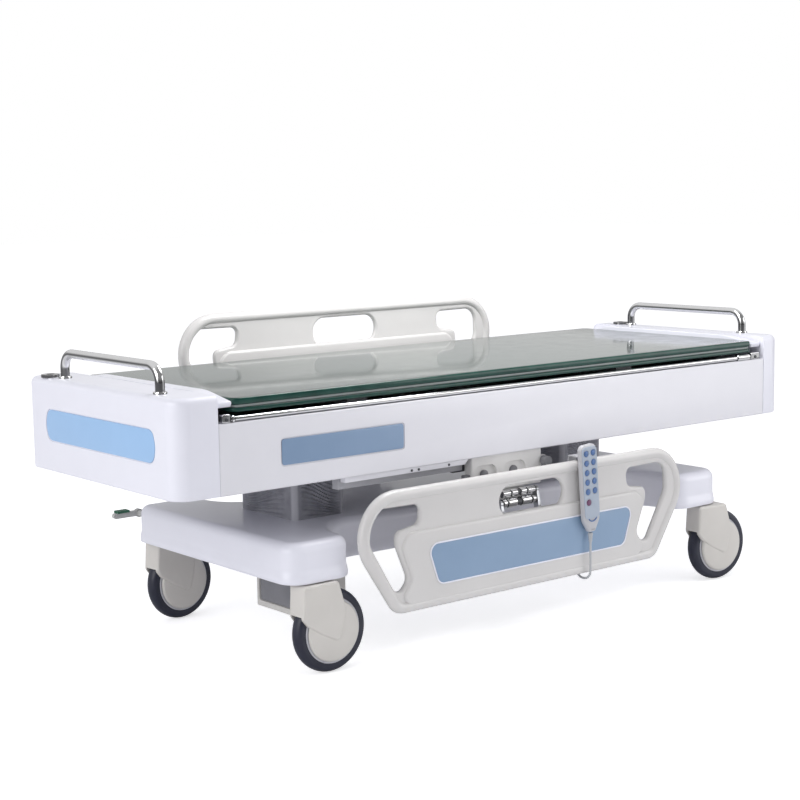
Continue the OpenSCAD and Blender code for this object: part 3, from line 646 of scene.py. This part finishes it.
def rail_mounts():
    """Cast brackets below the deck: oval hollows with dark bolts, an end block, and a dark block set back in
    the gap at the left end as painted shade.
    """
    low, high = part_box("rail_brackets")
    x0, x1 = low.x, low.x + 239 * MM
    z0, z1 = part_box("rail_barrels")[1].z + 1 * MM, high.z
    z = (z0 + z1) / 2
    bolt = [(0.5, -8), (12, -8), (12, -3), (9, -1), (0.5, -1)]
    hollows_x = (x0 + 46 * MM, x0 + 146 * MM)
    replaces = ("rail_brackets",)
    for name, basis, side in RAIL_SIDES:
        face = middle_y + side * 325 * MM

        def block(width, height, radius, thickness, x, depth, z, edge=3 * MM):
            where = at(x, face - side * depth * MM, z, basis)
            return plate_mesh([rectangle(width, height, radius)], thickness * MM, edge, where, 3)

        body = block((x1 - x0) / MM, (z1 - z0) / MM, 5, 29, (x0 + x1) / 2, 14.5, z)
        for x in hollows_x:
            body = boolean_mesh(body, block(76, 44, 21, 16, x, 0, z, 2 * MM))
        ear = block(30, 26, 6, 20, x1 + 5 * MM, 12, high.z - 35 * MM)
        saddle = block(103, 40, 4, 8, x0 + 145 * MM, 24, z0 - 16 * MM, 2 * MM)
        mount = join_meshes(body, ear, saddle)
        finish_mesh(name + "_rail_mount", mount, BRACKET, "deck", replaces)
        replaces = ()
        bolts = [revolve_mesh(bolt, at(x, face, z - 3 * MM, basis), 24) for x in hollows_x]
        # Painted shade: a dark block set back in the gap at the bracket's left end.
        bolts.append(block(20, 40, 3, 14, x0 - 9 * MM, 12, z0 + 28 * MM, 2 * MM))
        finish_mesh(name + "_mount_bolts_and_gap_shade", join_meshes(*bolts), KNOB, "deck")


def sub_rails():
    """A light strip under each beam with small bolts, and a dark plate set back behind the gap up to the
    bracket as painted shade.
    """
    x0, x1 = deck_x - 562 * MM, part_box("rail_brackets")[0].x - 12 * MM
    z = beam_low.z - 7 * MM
    length = (x1 - x0) / MM
    shape = rounded([(0, -7), (length - 16, -7), (length, 8), (0, 8)], 1, 3)
    bolt = [(0.3, 0), (3.2, 0), (3.2, 1.2), (0.3, 1.8)]
    for name, basis, side in RAIL_SIDES:
        y = middle_y + side * 322 * MM
        strip = plate_mesh([shape], 20 * MM, 1.2 * MM, at(x0 if side < 0 else x1, y, z, basis), 2)
        finish_mesh(name + "_sub_rail_strip", strip, BEAM, "deck")
        bolts = [revolve_mesh(bolt, at(x0 + along * MM, y + side * 10 * MM, z - 1 * MM, basis), 16)
                 for along in (200, 222, 318)]
        # Painted shade: a dark plate set back behind the gap between the strip and the bracket.
        where = at(x1 + 4 * MM, middle_y + side * 290 * MM, z - 12 * MM, basis)
        gap_shade_plate = plate_mesh([rectangle(60, 40, 3)], 12 * MM, 1 * MM, where, 2)
        finish_mesh(name + "_sub_rail_bolts_and_gap_shade", join_meshes(gap_shade_plate, *bolts), FRAME, "deck")


def handles():
    """Push handles: bent chrome tube with turned collars at the feet."""
    low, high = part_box("push_handles")
    radius, foot_radius = 11 * MM, 16 * MM
    collar = [(11.2, -1), (16, -1), (16, 3), (15, 4.6), (13, 5), (11.2, 5)]
    top = high.z - radius
    reach = (high.y - low.y) / 2 - foot_radius
    y0, y1 = middle_y - reach, middle_y + reach
    for name, x, shell in (
        ("left", low.x + foot_radius, left_high),
        ("right", high.x - foot_radius, right_high),
    ):
        foot = shell.z - 8 * MM
        line = [(x, y0, foot), (x, y0, top), (x, y1, top), (x, y1, foot)]
        parts = [tube_mesh(line, radius, 32, 38 * MM, 14)]
        parts += [revolve_mesh(collar, at(x, y, shell.z), 48) for y in (y0, y1)]
        replaces = ("push_handles",) if name == "left" else ()
        finish_mesh(name + "_push_handle", join_meshes(*parts), CHROME, "deck", replaces)


# ---- Board ----


def board():
    """The upper and lower run of the belt, and the grey core between them."""
    belt_low, belt_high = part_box("board_belts")
    core_low, core_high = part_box("board_core")
    centre = (belt_low + belt_high) / 2
    length, width = (belt_high.x - belt_low.x) / MM, (belt_high.y - belt_low.y) / MM

    def sheet(outline, low, high, edge, steps):
        return plate_mesh([outline], high - low, edge * MM, at(centre.x, centre.y, (low + high) / 2), steps)

    outline = rectangle(length, width, 20, steps=12)
    upper = sheet(outline, core_high.z, belt_high.z, 5.5, 6)
    belts = join_meshes(upper, sheet(outline, belt_low.z, core_low.z, 4, 6))
    finish_mesh("board_belt_sheets", belts, BELT, "board", ("board_belts",))
    core = sheet(rectangle(length - 6, width - 8, 18, steps=12), core_low.z, core_high.z, 1.5, 2)
    finish_mesh("board_core_sheet", core, CORE, "board", ("board_core",))


def board_ends():
    """White ends of the board, crowned across the deck."""
    low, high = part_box("board_ends")
    belt_low, belt_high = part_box("board_belts")
    half, flat, drop = (high.y - low.y) / 2 / MM, 232, 18
    top, bottom = high.z / MM, low.z / MM
    points = [(-flat, top), (flat, top), (half, top - drop), (half - 6, bottom), (6 - half, bottom),
              (-half, top - drop)]
    outline = [Vector((p.x + middle_y, p.y)) for p in rounded(points, [250, 250, 5, 5, 5, 5], 10)]
    replaces = ("board_ends",)
    for name, x0, x1 in (("left", low.x, belt_low.x), ("right", belt_high.x, high.x)):
        mesh = plate_mesh([outline], x1 - x0, 3 * MM, at((x0 + x1) / 2, 0, 0, SIDE), 4)
        finish_mesh(name + "_board_end", mesh, WHITE, "board", replaces)
        replaces = ()


# ---- Base ----


BASE_LIP = 4  # how far the lower flange stands out, in millimetres


def base_outline():
    """Plan of the base: two cross feet joined by the spine, in metres about its middle."""
    low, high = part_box("base_cover")
    half_x, half_y = ((high[i] - low[i]) / 2 / MM - BASE_LIP for i in (0, 1))
    foot, spine, corner, far_corner = 182, 181, 50, 28
    sweep = half_y - spine - corner
    inner = half_x - foot
    points = [(half_x, -half_y), (half_x, half_y), (inner, half_y), (inner, spine),
              (-inner, spine), (-inner, half_y), (-half_x, half_y), (-half_x, -half_y),
              (-inner, -half_y), (-inner, -spine), (inner, -spine), (inner, -half_y)]
    radii = [corner, far_corner, corner, sweep, sweep, corner]
    radii += [far_corner, corner, corner, sweep, sweep, corner]
    return rounded(points, radii, 12)


def base():
    """Moulded cover: a flange, an eased step in to the wall, and a round shoulder."""
    low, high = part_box("base_cover")
    centre = (low + high) / 2
    lip, flange_top, step = -BASE_LIP * MM, low.z + 9 * MM, 26 * MM
    levels = [(low.z, lip + 2 * MM), (low.z + 2 * MM, lip + 0.6 * MM), (flange_top, lip)]
    for share in (i / 10 for i in range(1, 11)):
        eased = share * share * (3 - 2 * share)
        levels.append((flange_top + step * share, lip * (1 - eased)))
    levels += [(high.z - drop, drawn_in) for drop, drawn_in in quarter(24 * MM, 10)]
    mesh = stack_mesh(base_outline(), levels, at(centre.x, centre.y, 0))
    finish_mesh("base_shell", mesh, WHITE, "base", ("base_cover",))


def bellows_outline(u, v):
    """Points round a sleeve as (place, hang from -1 to 1, depth of the fold as a share)."""
    corners = [Vector(p) for p in ((-u, -v), (u, -v), (u, v), (-u, v))]
    strips = [corner_arc(corners[i - 1], corners[i], corners[(i + 1) % 4], 18, 6) for i in range(4)]
    points = []
    for i, strip in enumerate(strips):
        sign = 1 if i % 2 == 0 else -1
        points += [(p * MM, sign, 0.0) for p in strip]
        stop = strips[(i + 1) % 4][0]
        for share in (k / 12 for k in range(1, 12)):
            points.append((strip[-1].lerp(stop, share) * MM, sign * math.cos(math.pi * share), 0.045))
    return points


def bellows():
    """Two ribbed sleeves that reach from the base up to the deck. The folds hang
    from two opposite corners and run smooth into the corner strips."""
    low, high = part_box("column_bellows")
    width, depth = 157, 240
    folds, sag = 15, 0.17
    outline = bellows_outline(width / 2, depth / 2)
    replaces = ("column_bellows",)
    for name, x in (("left", low.x + width / 2 * MM), ("right", high.x - width / 2 * MM)):
        rings = []
        for i in range(2 * folds + 1):
            share = i / (2 * folds)
            ring = []
            for p, hang, fold in outline:
                height = share + sag * hang * math.sin(math.pi * share)
                point = p * (1 - fold * (i % 2))
                ring.append((x + point.x, middle_y + point.y, low.z + (high.z - low.z) * height))
            rings.append(ring)
        obj = finish_mesh(name + "_bellows", loft_mesh(rings), BELLOWS, "base", replaces)
        stretch(obj, "base", "deck", (x, middle_y, low.z), (x, middle_y, high.z))
        replaces = ()


def battery():
    """Battery case hung under the base, with a grey door let into its end."""
    low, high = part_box("battery_box")
    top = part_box("base_cover")[0].z
    size, centre = (high - low) / MM, (low + high) / 2
    z, tall = (low.z + top) / 2, (top - low.z) / MM
    body = plate_mesh([rectangle(size.x, size.y, 8)], tall * MM, 3 * MM, at(centre.x, centre.y, z))
    face = at(low.x, centre.y, z, SIDE)
    body = boolean_mesh(body, plate_mesh([rectangle(size.y - 30, tall - 30, 6)], 12 * MM, 0.5 * MM, face, 2))
    finish_mesh("battery_case", body, BATTERY, "base", ("battery_box",))
    inner = at(low.x + 5 * MM, centre.y, z, SIDE)
    door = plate_mesh([rectangle(size.y - 32, tall - 32, 5)], 3 * MM, 1 * MM, inner, 2)
    finish_mesh("battery_door", door, DOOR, "base", ())


# ---- Castors ----

AXLE = Matrix.Translation((56 * MM, 100 * MM, 0))  # the wheel's centre on the castor's u and v axes


def castor_side(corner):
    """A basis at a castor's swivel axis on the floor: u along its trail, v up."""
    joints = {j["name"]: j for j in frame["joints"]}
    swivel = Vector(joints["castor_swivel_" + corner]["pos_m"])
    along = Vector(joints["wheel_spin_" + corner]["pos_m"]) - swivel
    along.z = 0
    u = along.normalized()
    basis = Matrix((u, Vector((0, 0, 1)).cross(u), (0, 0, 1))).transposed().to_4x4()
    return Matrix.Translation((swivel.x, swivel.y, 0)) @ basis @ FRONT


def castors():
    """Four castors: a housing that swivels, and a wheel with its tyre."""
    for corner in ("near_left", "near_right", "far_left", "far_right"):
        side = castor_side(corner)
        for name, mesh, material, body, node, slot in (
            ("cover", castor_housing_mesh(side), CASTOR, "castor_", "housing", "cream_plastic"),
            ("rim", castor_rim_mesh(side @ AXLE), HUB, "wheel_", "hub", "hub_white"),
            ("tread", castor_tyre_mesh(side @ AXLE), TYRE, "wheel_", "tyre", "tyre_navy"),
        ):
            replaces = ("castor_" + node + "_" + corner,)
            finish_mesh("castor_" + name + "_" + corner, mesh, material, body + corner, replaces)


def castor_housing_mesh(side):
    """Cast cover over the wheel. Its lower edge sweeps across the round cover on each face."""
    body = rounded([(-31, 219), (69, 219), (90, 150), (72, 70), (15, 99), (-22, 124), (-36, 142)],
                   [10, 10, 40, 14, 60, 30, 14], 12)
    mesh = plate_mesh([body], 59 * MM, 6 * MM, side)
    face = [(0.5, 26.5), (40, 26.5), (67, 25.6), (71, 24), (73, 21)]
    face += [(r, -h) for r, h in face[::-1]]
    mesh = boolean_mesh(mesh, revolve_mesh(face, side @ AXLE, 96), "UNION")
    room = [(0.5, 19.5), (103, 19.5), (103, -19.5), (0.5, -19.5)]
    return boolean_mesh(mesh, revolve_mesh(room, side @ AXLE, 96))


def castor_rim_mesh(axle):
    """Wheel disc with a raised ring next to the tyre."""
    half = [(0.5, 17), (60, 17), (72, 17), (74, 18), (77, 18), (78, 16.5)]
    return revolve_mesh(half + [(r, -h) for r, h in half[::-1]], axle, 96)


def castor_tyre_mesh(axle):
    """Round tread on the wheel disc, closed into a ring."""
    turns = [math.radians(-90 + 180 * i / 14) for i in range(15)]
    profile = [(88 + 12 * math.cos(t), 17.5 * math.sin(t)) for t in turns] + [(78.3, 17), (78.3, -17)]
    return revolve_mesh(profile + profile[:1], axle, 96, cap=False)


# ---- Side rails ----

INSERT_OUTLINE = [(-354, 8), (354, 8), (320, -94), (-320, -94)]
RAIL_SHIFT = 15  # how far the openings and the pad sit left of the rail's middle, in millimetres
RIM = 15 * MM  # radius of the tube round the rail


def rail_openings():
    """The grip opening at each end, and the slot that shows the barrels."""
    shape = [(-353, 108), (-505, 110), (-506, 30), (-425, -108),
             (-393, -70), (-430, 20), (-426, 50), (-357, 60)]
    radii = [18, 38, 40, 18, 25, 60, 18, 20]
    grips = [rounded([(side * x - RAIL_SHIFT, z) for x, z in shape], radii) for side in (1, -1)]
    return grips + [rectangle(220, 76, 37, (-3, 77), 12)]


def rail_pad():
    """The thicker lower field that carries the blue panel, between the two side openings."""
    left = [(-386, 45), (-421, 22), (-386, -68), (-416, -112), (-392, -134)]
    radii = [26, 34, 24, 18, 16]
    right = [(-x, z) for x, z in left[::-1]]
    return rounded([(x - RAIL_SHIFT, z) for x, z in left + right], radii + radii[::-1])


def flipped(loop):
    """A loop mirrored in u, to stay in place when seen from the other side."""
    return [Vector((-p.x, p.y)) for p in loop]


def rails():
    """Side rails: a tube round a thin sheet, a raised pad, and a blue panel in a white lip."""
    corners = [(-643, 150.5), (643, 150.5), (448, -150.5), (-448, -150.5)]
    outline = turned(rounded(corners, [110, 110, 45, 45], 16), True)
    for name, basis, side in RAIL_SIDES:
        low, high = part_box(name + "_rail")
        x, z = (low.x + high.x) / 2, (low.z + high.z) / 2
        face = low.y if side < 0 else high.y
        turn = flipped if side > 0 else list
        middle = at(x, face - side * RIM, z, basis)
        loops = [turn(loop) for loop in [inset(outline, 9 * MM)] + rail_openings()]
        core = plate_mesh(loops, 17 * MM, 8 * MM, middle, 8)
        pad = plate_mesh([turn(rail_pad())], 28 * MM, 8 * MM, middle, 8)
        front = at(x, face - side * 1 * MM, z, basis)
        pad = boolean_mesh(pad, plate_mesh([rounded(INSERT_OUTLINE, 23)], 6 * MM, 0.5 * MM, front, 2))
        shell = join_meshes(core, pad, wire_mesh(turn(inset(outline, RIM)), RIM, middle))
        body = name + "_rail"
        finish_mesh(name + "_rail_shell", shell, CREAM, body, (name + "_rail",))
        outline_in = rounded([(u * 0.993, v * 0.98 - 1) for u, v in INSERT_OUTLINE], 21)
        panel = plate_mesh([outline_in], 4 * MM, 1.5 * MM, at(x, face - side * 1.4 * MM, z, basis), 3)
        finish_mesh(name + "_rail_panel", panel, INSERT, body, (name + "_rail_insert",))
        lip = wire_mesh(rounded(INSERT_OUTLINE, 23), 2 * MM, at(x, face, z, basis))
        finish_mesh(name + "_rail_lip", lip, WHITE, body)


def barrels():
    """Chrome barrels that the arms turn in, built up of collars with dark grooves between."""
    low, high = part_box("rail_barrels")
    upper_r, lower_r, chamfer = 10, 13, 1.5
    rows = (
        (high.z - upper_r * MM, upper_r, ((0, 26), (30, 50), (62, 81), (85, 111))),
        (low.z + lower_r * MM, lower_r, ((0, 12), (16, 46), (64, 96), (100, 111))),
    )
    replaces = ("rail_barrels",)
    for name, y in (("near", low.y + lower_r * MM), ("far", high.y - lower_r * MM)):
        bright, grooves = [], []
        for z, r, bands in rows:
            where = at(low.x, y, z, SIDE)
            for start, stop in bands:
                collar = [(0.5, start), (r - chamfer, start), (r, start + chamfer), (r, stop - chamfer),
                          (r - chamfer, stop), (0.5, stop)]
                bright.append(revolve_mesh(collar, where, 40))
            core = [(0.5, 1), (r - 3.5, 1), (r - 3.5, 110), (0.5, 110)]
            grooves.append(revolve_mesh(core, where, 32))
        finish_mesh(name + "_barrels", join_meshes(*bright), CHROME, "deck", replaces)
        finish_mesh(name + "_barrel_grooves", join_meshes(*grooves), FRAME, "deck")
        replaces = ()


# ---- Handset ----

KEYS = ["button_%d" % i for i in range(1, 11)] + ["power_button"]
TILT = Matrix.Rotation(math.radians(-4), 4, "Y")  # the handset's top leans left


def middle_of(node):
    """The middle of a CAD node's box."""
    low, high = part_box(node)
    return (low + high) / 2


def handset():
    """Handset on its hook: case, keypad with a hole for each key, keys and a curved mark."""
    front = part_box("handset_case")[0].y + 2.5 * MM
    thickness = 19 * MM
    back = front + 22 * MM
    key_middle = (middle_of("button_1") + middle_of("button_10")) / 2
    centre = key_middle - TILT @ Vector((0, 0, 43 * MM))
    outline = rounded([(-28, 115), (30, 115), (30, -84), (11, -115), (-10, -115), (-28, -84)],
                      [16, 16, 24, 5, 5, 24])
    where = at(centre.x, front + thickness / 2, centre.z) @ TILT @ FRONT
    case = plate_mesh([outline], thickness, 8 * MM, where, 8)
    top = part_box("near_rail")[1].z + 12 * MM
    hook = rounded([(0, 0), (43, 0), (43, 36), (39, 36), (39, 4), (0, 4)], [1, 8, 1, 1, 5, 1])
    hook = [Vector((p.x + back - 1 * MM, top - p.y)) for p in hook]
    strap = plate_mesh([hook], 28 * MM, 1 * MM, at(centre.x - 7 * MM, 0, 0, SIDE), 2)
    finish_mesh("handset_body", join_meshes(case, strap), CASE, "handset", ("handset_case",))
    face = at(centre.x, front - 0.4 * MM, centre.z) @ TILT @ FRONT
    spots = [face.inverted() @ middle_of(node) / MM for node in KEYS]
    loops = [rectangle(52, 189, 12, (0, 15.5))] + [circle(8.9, spot.x, spot.y) for spot in spots]
    pad = plate_mesh(loops, 2 * MM, 0.6 * MM, face, 3)
    finish_mesh("handset_face", pad, KEYPAD, "handset", ("handset_keypad",))
    turns = [math.radians(a) for a in range(-50, 51, 10)]
    arc = [face @ (Vector((19 * math.sin(t), -62 - 24 * math.cos(t), 0.4)) * MM) for t in turns]
    finish_mesh("handset_arc", tube_mesh(arc, 1.6 * MM, 8), KEY, "handset", ())
    dome = [(0.3, 3.5), (3, 3.4), (5.5, 3), (7.2, 2.2), (8, 1.6), (8, 1.3), (0.3, 1.3)]
    for node in KEYS:
        spot = middle_of(node)
        key = revolve_mesh(dome, at(spot.x, front, spot.z) @ TILT @ FRONT, 32)
        material, slot = (POWER, "key_purple") if node == "power_button" else (KEY, "key_blue")
        finish_mesh("key_" + node, key, material, node, (node,))


def cable():
    """The cable's front strand runs down from the handset; its tail is clipped to the rail."""
    low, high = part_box("handset_cable")
    x = (low.x + high.x) / 2
    front, back = low.y + 6 * MM, high.y - 3 * MM
    radius, boot_length = 3 * MM, 26
    under = low.z + radius
    bend = under + 26 * MM
    points = [(x, front, high.z), (x, front, under), (x, back, under), (x, back, bend)]
    wire = tube_mesh(points, radius, 16, 24 * MM)
    tail = tube_mesh([(x, back, bend), (x, back, under + 110 * MM)], radius, 16)
    boot = [(6.2, 0), (6.4, 4)]
    for i in range(4):
        ridge, groove, start = 6.2 - 0.5 * i, 4.8 - 0.4 * i, 5 * i
        boot += [(ridge, start + 4), (ridge, start + 7), (groove, start + 7.2), (groove, start + 8.8)]
    boot += [(3.2, boot_length)]
    relief = revolve_mesh(boot, at(x, front, high.z) @ Matrix.Rotation(math.pi, 4, "X"), 32)
    clip = plate_mesh([rectangle(16, 20, 3)], 5 * MM, 1 * MM, at(x, back + 2 * MM, under + 94 * MM, FRONT), 2)
    finish_mesh("handset_wire_tail", join_meshes(tail, clip), CABLE, "near_rail")
    mesh = join_meshes(wire, relief)
    obj = finish_mesh("handset_wire", mesh, CABLE, "near_rail", ("handset_cable",))
    stretch(obj, "near_rail", "handset", (x, front, bend), (x, front, high.z - boot_length * MM))


# ---- Carried-over nodes ----


def paint_nodes():
    """Gives the nodes that keep their CAD shape their finished materials."""
    finishes = {
        CHROME: ["pole_sockets", "near_roller", "far_roller"],
        STEEL: ["column_middle_tubes", "column_inner_tubes", "near_upper_arm", "near_lower_arm",
                "far_upper_arm", "far_lower_arm"],
        FRAME: ["base_frame"],
        DECK: ["deck_frame"],
        LEVER: ["brake_lever"],
        PAD: ["pedal_pad"],
        KNOB: ["near_latch_knob", "far_latch_knob"],
    }
    for material, names in finishes.items():
        for name in names:
            materials = frame["nodes"][name].data.materials
            materials.clear()
            materials.append(material)


# ---- Studio ----


def studio():
    """Pale floor, lifted towards white for the camera, and three soft lamps."""
    bpy.ops.mesh.primitive_plane_add(size=60, location=(0, 0, 0))
    floor = bpy.context.object
    floor.name = "studio_floor"
    material, tree, shader = new_material("studio_floor")
    shade = mix_colours(tree, ramp(tree, noise(tree, 0.6, 2)), (0.87, 0.87, 0.88), (0.89, 0.89, 0.90))
    tree.links.new(shade, shader.inputs["Base Color"])
    shader.inputs["Roughness"].default_value = 0.8
    path = tree.nodes.new("ShaderNodeLightPath")
    lift = calculate(tree, "MULTIPLY", path.outputs["Is Camera Ray"], 0.58)
    shader.inputs["Emission Color"].default_value = (1, 1, 1, 1)
    tree.links.new(lift, shader.inputs["Emission Strength"])
    floor.data.materials.append(material)
    sky()
    lamp("key_light", (-5.2, -0.6, 2.3), (-0.6, 0, 0.5), 3.5, 108)
    lamp("fill_light", (4.3, -3.8, 1.6), (0.5, 0, 0.4), 3.6, 92)
    lamp("rail_light", (0.1, -0.26, 1.7), (0.0, 0.25, 0.7), 0.7, 17)
    bpy.context.scene.view_settings.view_transform = "Standard"


def sky():
    """A white backdrop that lights softly, and mirrors darker from the camera's side."""
    world = bpy.data.worlds.new("studio")
    bpy.context.scene.world = world
    world.use_nodes = True
    tree = world.node_tree
    mirrored = map_range(tree, axes_of(tree, "ShaderNodeTexCoord", "Generated")["Y"], -0.45, 0.10, 0.22, 0.68)
    grey = tree.nodes.new("ShaderNodeCombineColor")
    for channel in range(3):
        tree.links.new(mirrored, grey.inputs[channel])
    path = tree.nodes.new("ShaderNodeLightPath")
    soft = mix_colours(tree, path.outputs["Is Glossy Ray"], (0.55, 0.555, 0.575), grey.outputs[0])
    seen = mix_colours(tree, path.outputs["Is Camera Ray"], soft, (1.0, 1.0, 1.0))
    tree.links.new(seen, tree.nodes["Background"].inputs[0])


def lamp(name, place, target, size, power):
    """A soft area light aimed at a target."""
    data = bpy.data.lights.new(name, "AREA")
    data.size = size
    data.energy = power
    obj = linked(name, data)
    obj.location = place
    aim = Vector(target) - Vector(place)
    obj.rotation_euler = aim.to_track_quat("-Z", "Y").to_euler()


def camera():
    """A camera at standing height off the near left corner, with a slight roll."""
    yaw, pitch, roll = math.radians(38.781), math.radians(7.374), math.radians(-0.983)
    forward = Vector((math.sin(yaw) * math.cos(pitch), math.cos(yaw) * math.cos(pitch), -math.sin(pitch)))
    right = forward.cross(Vector((0, 0, 1))).normalized()
    up = right.cross(forward)
    right_rolled = right * math.cos(roll) + up * math.sin(roll)
    up_rolled = up * math.cos(roll) - right * math.sin(roll)
    data = bpy.data.cameras.new("camera")
    data.lens = 74.29
    data.sensor_width = 36
    obj = linked("camera", data)
    basis = Matrix((right_rolled, up_rolled, -forward)).transposed().to_4x4()
    obj.matrix_world = Matrix.Translation((-2.8385, -3.3738 + middle_y, 1.1253)) @ basis
    bpy.context.scene.camera = obj


shrouds()
side_shells()
handles()
board()
board_ends()
base()
bellows()
battery()
castors()
roller_ends()
rail_mounts()
sub_rails()
rails()
barrels()
handset()
cable()
paint_nodes()
studio()
camera()
